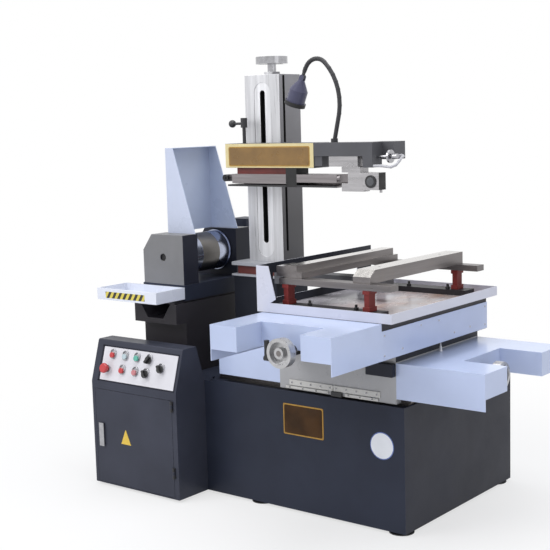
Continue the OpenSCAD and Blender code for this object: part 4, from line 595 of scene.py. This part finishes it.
def rectangle(width, height, radius=0.0):
    """Corners of a centred rectangle, round if a radius is given."""
    half_x, half_y = width / 2, height / 2
    if not radius:
        return [(-half_x, -half_y), (half_x, -half_y), (half_x, half_y), (-half_x, half_y)]
    points = []
    for sx, sy, start in ((1, -1, -90), (1, 1, 0), (-1, 1, 90), (-1, -1, 180)):
        for i in range(CORNER_STEPS + 1):
            a = math.radians(start + 90.0 * i / CORNER_STEPS)
            points.append((sx * (half_x - radius) + radius * math.cos(a),
                           sy * (half_y - radius) + radius * math.sin(a)))
    return points


def lathe(profile, steps=40):
    """A turned piece from its profile of radius and height in millimetres, closed at the axis."""
    bm = bmesh.new()
    rings = []
    for r, z in profile:
        if r == 0:
            rings.append([bm.verts.new((0, 0, z * MM))])
        else:
            turns = [2 * math.pi * i / steps for i in range(steps)]
            rings.append([bm.verts.new((r * MM * math.cos(a), r * MM * math.sin(a), z * MM))
                          for a in turns])
    for a, b in zip(rings, rings[1:]):
        for i in range(steps):
            j = (i + 1) % steps
            corners = [a[i % len(a)], a[j % len(a)], b[j % len(b)], b[i % len(b)]]
            unique = list(dict.fromkeys(corners))
            if len(unique) > 2:
                bm.faces.new(unique)
    bmesh.ops.recalc_face_normals(bm, faces=bm.faces)
    return bm


def disc(radius, depth, steps):
    return lathe([(0, 0), (radius, 0), (radius, depth), (0, depth)], steps)


def on(place, normal, upward=TOP):
    """The matrix of a piece that stands on a face at a place in millimetres, along the face's normal."""
    z = Vector(normal).normalized()
    x = Vector(upward).cross(z).normalized()
    y = z.cross(x)
    return Matrix(((x.x, y.x, z.x, place[0] * MM), (x.y, y.y, z.y, place[1] * MM),
                   (x.z, y.z, z.z, place[2] * MM), (0, 0, 0, 1)))


def absorb(bm, part):
    """Move a part's mesh into another bmesh."""
    mesh = bpy.data.meshes.new("part")
    part.to_mesh(mesh)
    part.free()
    bm.from_mesh(mesh)
    bpy.data.meshes.remove(mesh)


def group(name, placed, material, body):
    """Small parts of one finish that ride on one body, gathered in one piece."""
    bm = bmesh.new()
    for part, matrix in placed:
        part.transform(matrix)
        absorb(bm, part)
    settle(name, bm, [material], body)


def single(name, part, matrix, material, body):
    group(name, [(part, matrix)], material, body)


def socket_screw(d, height):
    """The head of a socket screw."""
    r, low, floor = d / 2, -0.2, height * 0.4
    return lathe([(0, low), (r, low), (r, height * 0.85), (r * 0.9, height), (r * 0.5, height),
                  (r * 0.46, floor), (0, floor)], 20)


def hex_nut(across, height, stud_d, stud_height, chamfer=1.5):
    """A hexagon nut on the end of its stud."""
    r, stud_r = across / math.sqrt(3), stud_d / 2
    corners = [math.radians(60 * i) for i in range(6)]
    nut = prism([(r * math.cos(a), r * math.sin(a)) for a in corners], height, across * 0.06)
    absorb(nut, lathe([(0, 0), (stud_r, 0), (stud_r, stud_height - chamfer),
                       (stud_r - chamfer, stud_height), (0, stud_height)], 20))
    return nut


def stacked(place, layers, body):
    """Flat pieces that lie on one another before a place: name, shape, depth and finish of each."""
    x, y, z = place
    for name, shape, depth, finish in layers:
        single(name, shape, on((x, y, z), FRONT), finish, body)
        y -= depth


# Sign plate in the middle of the saddle's front, left bare, with its gold line a little low on it
SIGN_DEPTH, LINE_DROP = 1.6, 3
sign_x, sign_y, sign_z = middle("arm_saddle", X), box("arm_saddle")[0][Y], middle("arm_saddle", Z)
single("sign_plate", prism(rectangle(430, 92, 2), SIGN_DEPTH, 0.5), on((sign_x, sign_y, sign_z), FRONT),
       sign_cream, "arm")
stacked((sign_x, sign_y - SIGN_DEPTH, sign_z - LINE_DROP), [
    ("sign_line", prism(rectangle(396, 76, 7), 0.5, 0.2), 0.5, gold_line),
    ("sign_field", prism(rectangle(388, 68, 6), 0.5, 0.2), 0.5, sign_brown)], "arm")

# Nameplate on the bed, left bare, with its four rivets
BED_FRONT = box("bed")[0][Y]
PLATE_X, PLATE_Z, PLATE_DEPTH = 101, 353, 1.2
RIVET_X, RIVET_Z = 86, 53
stacked((PLATE_X, BED_FRONT, PLATE_Z), [
    ("name_plate", prism(rectangle(182, 116, 5), PLATE_DEPTH, 0.4), PLATE_DEPTH, gold_line),
    ("name_field", prism(rectangle(172, 106, 7), 0.5, 0.2), 0.5, plate_brown)], "base")
group("name_rivets", [(lathe([(0, 0), (2.4, 0), (2.0, 1.0), (0, 1.6)], 14),
                       on((PLATE_X + x, BED_FRONT - PLATE_DEPTH, PLATE_Z + z), FRONT))
                      for x in (-RIVET_X, RIVET_X) for z in (-RIVET_Z, RIVET_Z)],
      gold_line, "base")

# Round sticker on the bed, left blank inside its ring
stacked((441, BED_FRONT, 313), [
    ("round_sticker", disc(49, 0.4, 64), 0.4, sticker_blue),
    ("round_sticker_face", disc(45.5, 0.4, 64), 0.4, sticker_white)], "base")

# Plain yellow patch on the cabinet's door
single("door_patch", prism([(-27, -26), (27, -26), (1.5, 32), (-1.5, 32)], 0.6, 0.2),
       on((-655, CABINET_FRONT, 214), FRONT), patch_yellow, "door")

# Slanting stripes on the drip tray
single("hazard_strip", prism(rectangle(216, 25), 0.5), on((-679.5, box("drip_tray")[0][Y], 771.5), FRONT),
       hazard, "drum_carriage")

# Wiper strips in two rows on the front of the middle slide: width, height, depth and place
MIDDLE_FRONT = box("middle_slide")[0][Y]
UPPER_ROW, LOWER_ROW = 491, 473
UPPER_DEPTH, LOWER_DEPTH = 4.5, 6.0
STRIPS = ((195, 21, UPPER_DEPTH, 134.5, UPPER_ROW), (198, 21, UPPER_DEPTH, 333.0, UPPER_ROW),
          (190, 9, LOWER_DEPTH, 116.0, LOWER_ROW), (140, 11, LOWER_DEPTH, 354.0, LOWER_ROW - 1))
group("wiper_strips", [(prism(rectangle(width, height), depth, 1.0), on((x, MIDDLE_FRONT, z), FRONT))
                       for width, height, depth, x, z in STRIPS], strip_cream, "middle")

# Their screws: head and height, how proud they stand, their row and their places along it
SCREW_ROWS = ((7, 2.5, UPPER_DEPTH, UPPER_ROW, (50, 90, 134, 178, 219, 246, 290, 333, 376, 420)),
              (6, 3.0, LOWER_DEPTH, LOWER_ROW, (40, 100, 160, 300, 350, 400)))
group("wiper_screws", [(socket_screw(head, height), on((x, MIDDLE_FRONT - proud, row), FRONT))
                       for head, height, proud, row, places in SCREW_ROWS for x in places],
      chrome, "middle")

# Stop and switch box on the same front
single("stop_block", prism(rectangle(46, 17), 9.0, 1.2), on((249, MIDDLE_FRONT, 471), FRONT),
       black_iron, "middle")
# the switch box in the dark navy of the painted shade
single("switch_box", prism(rectangle(111, 46, 3), 22.0, 1.5), on((440, MIDDLE_FRONT, 585), FRONT),
       painted_shade_navy, "middle")

# Oil cup on the right cover
single("oil_cup", lathe([(0, 0), (6.5, 0), (6.5, 3), (4.5, 5), (4.5, 16), (2.6, 20), (2.2, 30),
                         (0, 30.5)], 24),
       on((518.5, 85.5, box("right_cover")[1][Z]), TOP, BACKWARD), oil_white, "middle")

# Nuts and studs on the raised strips of the table
group("table_studs", [(hex_nut(17, 9, 10, 19), on((x, y, box("table_slide")[1][Z]), TOP, BACKWARD))
                      for x, y in ((240, 326), (410, 326), (190, -248), (386, -248))],
      black_iron, "table")

# Bezels of the controls, proud of the panel: their places along and up it
slope_out = Vector((0.0, -math.cos(PANEL_TILT), math.sin(PANEL_TILT)))
slope_up = Vector((0.0, math.sin(PANEL_TILT), math.cos(PANEL_TILT)))
panel_origin = Vector((PANEL_X, CABINET_FRONT, PANEL_Z)) + slope_up * SEAT_RIM


def on_panel(x, row, proud=0.0):
    """The matrix of a part on the sloping panel, by its place along and up the panel."""
    return on(panel_origin + Vector((x, 0.0, 0.0)) + slope_up * row + slope_out * proud, slope_out)


PANEL_DEPTH = 2.0
BEZEL = [(12.4, 0), (14.9, 0), (14.9, 6.6), (14.1, 7.4), (12.8, 7.4), (12.4, 7.0), (12.4, 0)]
CONTROLS = ((56, 112), (124, 112), (189, 112), (255, 112), (119, 56), (190, 56), (249, 56), (324, 83))
group("control_bezels", [(lathe(BEZEL, 36), on_panel(x, row, PANEL_DEPTH)) for x, row in CONTROLS],
      bezel_metal, "base")

# The painted shade in the recess round the panel, as four dark strips: from and to along the panel, from and to up
# it
LEFT_EDGE, RIGHT_EDGE, FOOT, HEAD = -13.0, 404.5, -6.0, 139.0
RECESS = ((LEFT_EDGE, -0.5, FOOT, HEAD), (400.5, RIGHT_EDGE, FOOT, HEAD),
          (LEFT_EDGE, RIGHT_EDGE, 133.5, HEAD), (LEFT_EDGE, RIGHT_EDGE, FOOT, -0.5))
group("panel_painted_shade_strips", [(prism(rectangle(x1 - x0, r1 - r0), 0.5), on_panel((x0 + x1) / 2, (r0 + r1) / 2))
                       for x0, x1, r0, r1 in RECESS], recess_painted_shade_navy, "base")

# Lens and black rim of the work lamp
lamp_axis = Vector((-0.3746, 0.0, -0.9272))
lamp_pivot = Vector((-38.5743, 46.0, 1599.42))
single("lamp_lens", lathe([(0, 0), (31.6, 0), (31.6, 3.0), (26.0, 5.5), (14.0, 7.0), (0, 7.5)], 48),
       on(lamp_pivot + lamp_axis * 101.0, lamp_axis, BACKWARD), lens_glass, "lamp")
single("lamp_rim", lathe([(39.5, 0), (40.7, 0.6), (40.7, 14.4), (39.9, 15.4), (32.2, 15.4), (32.2, 9.0),
                          (39.5, 9.0), (39.5, 0)], 48),
       on(lamp_pivot + lamp_axis * 96.8, lamp_axis, BACKWARD), black_and_painted_shade, "lamp")

# The dull disc in the ring before the upper guide wheel
wheel_axis = pivot("upper_wheel_turn")
single("wheel_cap", lathe([(0, 0), (15.5, 0), (15.5, 0.9), (14.5, 1.4), (0, 1.4)], 40),
       on((wheel_axis.x, 9.4, wheel_axis.z), FRONT), dull_disc, "upper_guide")

# Small screws that hold the side plates
plates_low, plates_high = box("side_plates")
PLATE_SCREWS = ((-292, 726), (-292, 658), (-180, 665), (-60, 726), (61, 724), (170, 664), (285, 667),
                (400, 726), (400, 658))
SCREW_HEAD = [(0, 0), (4.0, 0), (3.4, 0.9), (1.2, 1.1), (0, 0.7)]
group("plate_screws", [(lathe(SCREW_HEAD, 16), on((x, y, z), side))
                       for side, x in ((RIGHT, plates_high[X]), (LEFT, plates_low[X]))
                       for y, z in PLATE_SCREWS],
      chrome, "table")


# Camera, floor and light

FOCAL_PIXELS, IMAGE_PIXELS, SENSOR_MM = 1164.973, 550.0, 36.0
CAMERA_PLACE = (2.6077, -3.4781, 1.4417)
YAW, PITCH, ROLL = (math.radians(a) for a in (38.5138, 7.5533, -1.5906))

camera_data = bpy.data.cameras.new("camera")
camera = bpy.data.objects.new("camera", camera_data)
bpy.context.scene.collection.objects.link(camera)
forward = Vector((-math.sin(YAW) * math.cos(PITCH), math.cos(YAW) * math.cos(PITCH), -math.sin(PITCH)))
level = Vector((math.cos(YAW), math.sin(YAW), 0.0))
upright = level.cross(forward)
right = level * math.cos(ROLL) + upright * math.sin(ROLL)
up = upright * math.cos(ROLL) - level * math.sin(ROLL)
camera.matrix_world = Matrix((*((right[k], up[k], -forward[k], CAMERA_PLACE[k]) for k in range(3)),
                              (0.0, 0.0, 0.0, 1.0)))
camera_data.sensor_width = SENSOR_MM
camera_data.lens = FOCAL_PIXELS / IMAGE_PIXELS * SENSOR_MM
camera_data.clip_end = 60.0
bpy.context.scene.camera = camera


def join(tree, operation, a, b):
    """A Math node of two sockets."""
    node = tree.nodes.new("ShaderNodeMath")
    node.operation = operation
    tree.links.new(a, node.inputs[0])
    tree.links.new(b, node.inputs[1])
    return node.outputs[0]


def seen_rays(tree):
    """1 for what the camera sees, by itself or in metal or glass."""
    rays = tree.nodes.new("ShaderNodeLightPath").outputs
    either = join(tree, "MAXIMUM", rays["Is Camera Ray"], rays["Is Glossy Ray"])
    return join(tree, "MAXIMUM", either, rays["Is Transmission Ray"])


def mixed(tree, factor, first, second, output):
    """Send a mix of two shaders to the output."""
    node = tree.nodes.new("ShaderNodeMixShader")
    for i, socket in enumerate((factor, first, second)):
        tree.links.new(socket, node.inputs[i])
    tree.links.new(node.outputs[0], output.inputs[0])


def floor_material(name, shade_colour, fade_from=0.9, fade_to=2.4, seen_share=0.66):
    """A pale floor that keeps the object's shadow and turns to white away from the object, in metres."""
    material = bpy.data.materials.new(name)
    material.use_nodes = True
    tree = material.node_tree
    tree.nodes.clear()
    output = tree.nodes.new("ShaderNodeOutputMaterial")
    diffuse = tree.nodes.new("ShaderNodeBsdfDiffuse")
    diffuse.inputs[0].default_value = (*shade_colour, 1.0)
    white = tree.nodes.new("ShaderNodeEmission")
    white.inputs[0].default_value = (1.0, 1.0, 1.0, 1.0)
    distance = tree.nodes.new("ShaderNodeVectorMath")
    distance.operation = "LENGTH"
    tree.links.new(tree.nodes.new("ShaderNodeNewGeometry").outputs["Position"], distance.inputs[0])
    fade = tree.nodes.new("ShaderNodeMapRange")
    fade.interpolation_type = "SMOOTHSTEP"
    for i, value in enumerate((fade_from, fade_to, seen_share, 1.0)):
        fade.inputs[i + 1].default_value = value
    tree.links.new(distance.outputs["Value"], fade.inputs[0])
    share = join(tree, "MULTIPLY", seen_rays(tree), fade.outputs[0])
    mixed(tree, share, diffuse.outputs[0], white.outputs[0], output)
    return material


FLOOR_HALF = 14
floor_mesh = bpy.data.meshes.new("floor")
floor_corners = [(x * FLOOR_HALF, y * FLOOR_HALF, 0) for x, y in ((-1, -1), (1, -1), (1, 1), (-1, 1))]
floor_mesh.from_pydata(floor_corners, [], [(0, 1, 2, 3)])
floor = bpy.data.objects.new("floor", floor_mesh)
bpy.context.scene.collection.objects.link(floor)
floor_mesh.materials.append(floor_material("floor_pale", (0.82, 0.82, 0.83)))


def background(tree, colour, strength):
    node = tree.nodes.new("ShaderNodeBackground")
    node.inputs[0].default_value = (*colour, 1.0)
    node.inputs[1].default_value = strength
    return node.outputs[0]


world = bpy.data.worlds.new("studio")
bpy.context.scene.world = world
world.use_nodes = True
world.node_tree.nodes.clear()
soft_light = background(world.node_tree, (0.93, 0.95, 1.0), 0.55)
seen_white = background(world.node_tree, (1.0, 1.0, 1.0), 1.0)
world_output = world.node_tree.nodes.new("ShaderNodeOutputWorld")
mixed(world.node_tree, seen_rays(world.node_tree), soft_light, seen_white, world_output)


def area_light(name, place, target, size, power):
    """A rectangular lamp at a place, turned to a target."""
    data = bpy.data.lights.new(name, "AREA")
    data.shape = "RECTANGLE"
    data.size, data.size_y = size
    data.energy = power
    lamp = bpy.data.objects.new(name, data)
    bpy.context.scene.collection.objects.link(lamp)
    lamp.location = place
    lamp.rotation_mode = "QUATERNION"
    lamp.rotation_quaternion = (Vector(target) - Vector(place)).to_track_quat("-Z", "Y")


area_light("key", (-2.6, -4.2, 4.2), (0.0, 0.0, 0.9), (3.0, 3.0), 140.0)
area_light("overhead", (0.3, 0.2, 5.2), (0.0, 0.1, 0.8), (4.0, 4.0), 165.0)
area_light("fill", (4.8, -1.2, 2.2), (0.2, 0.0, 0.9), (2.5, 3.0), 14.0)

bpy.context.scene.view_settings.view_transform = "Standard"
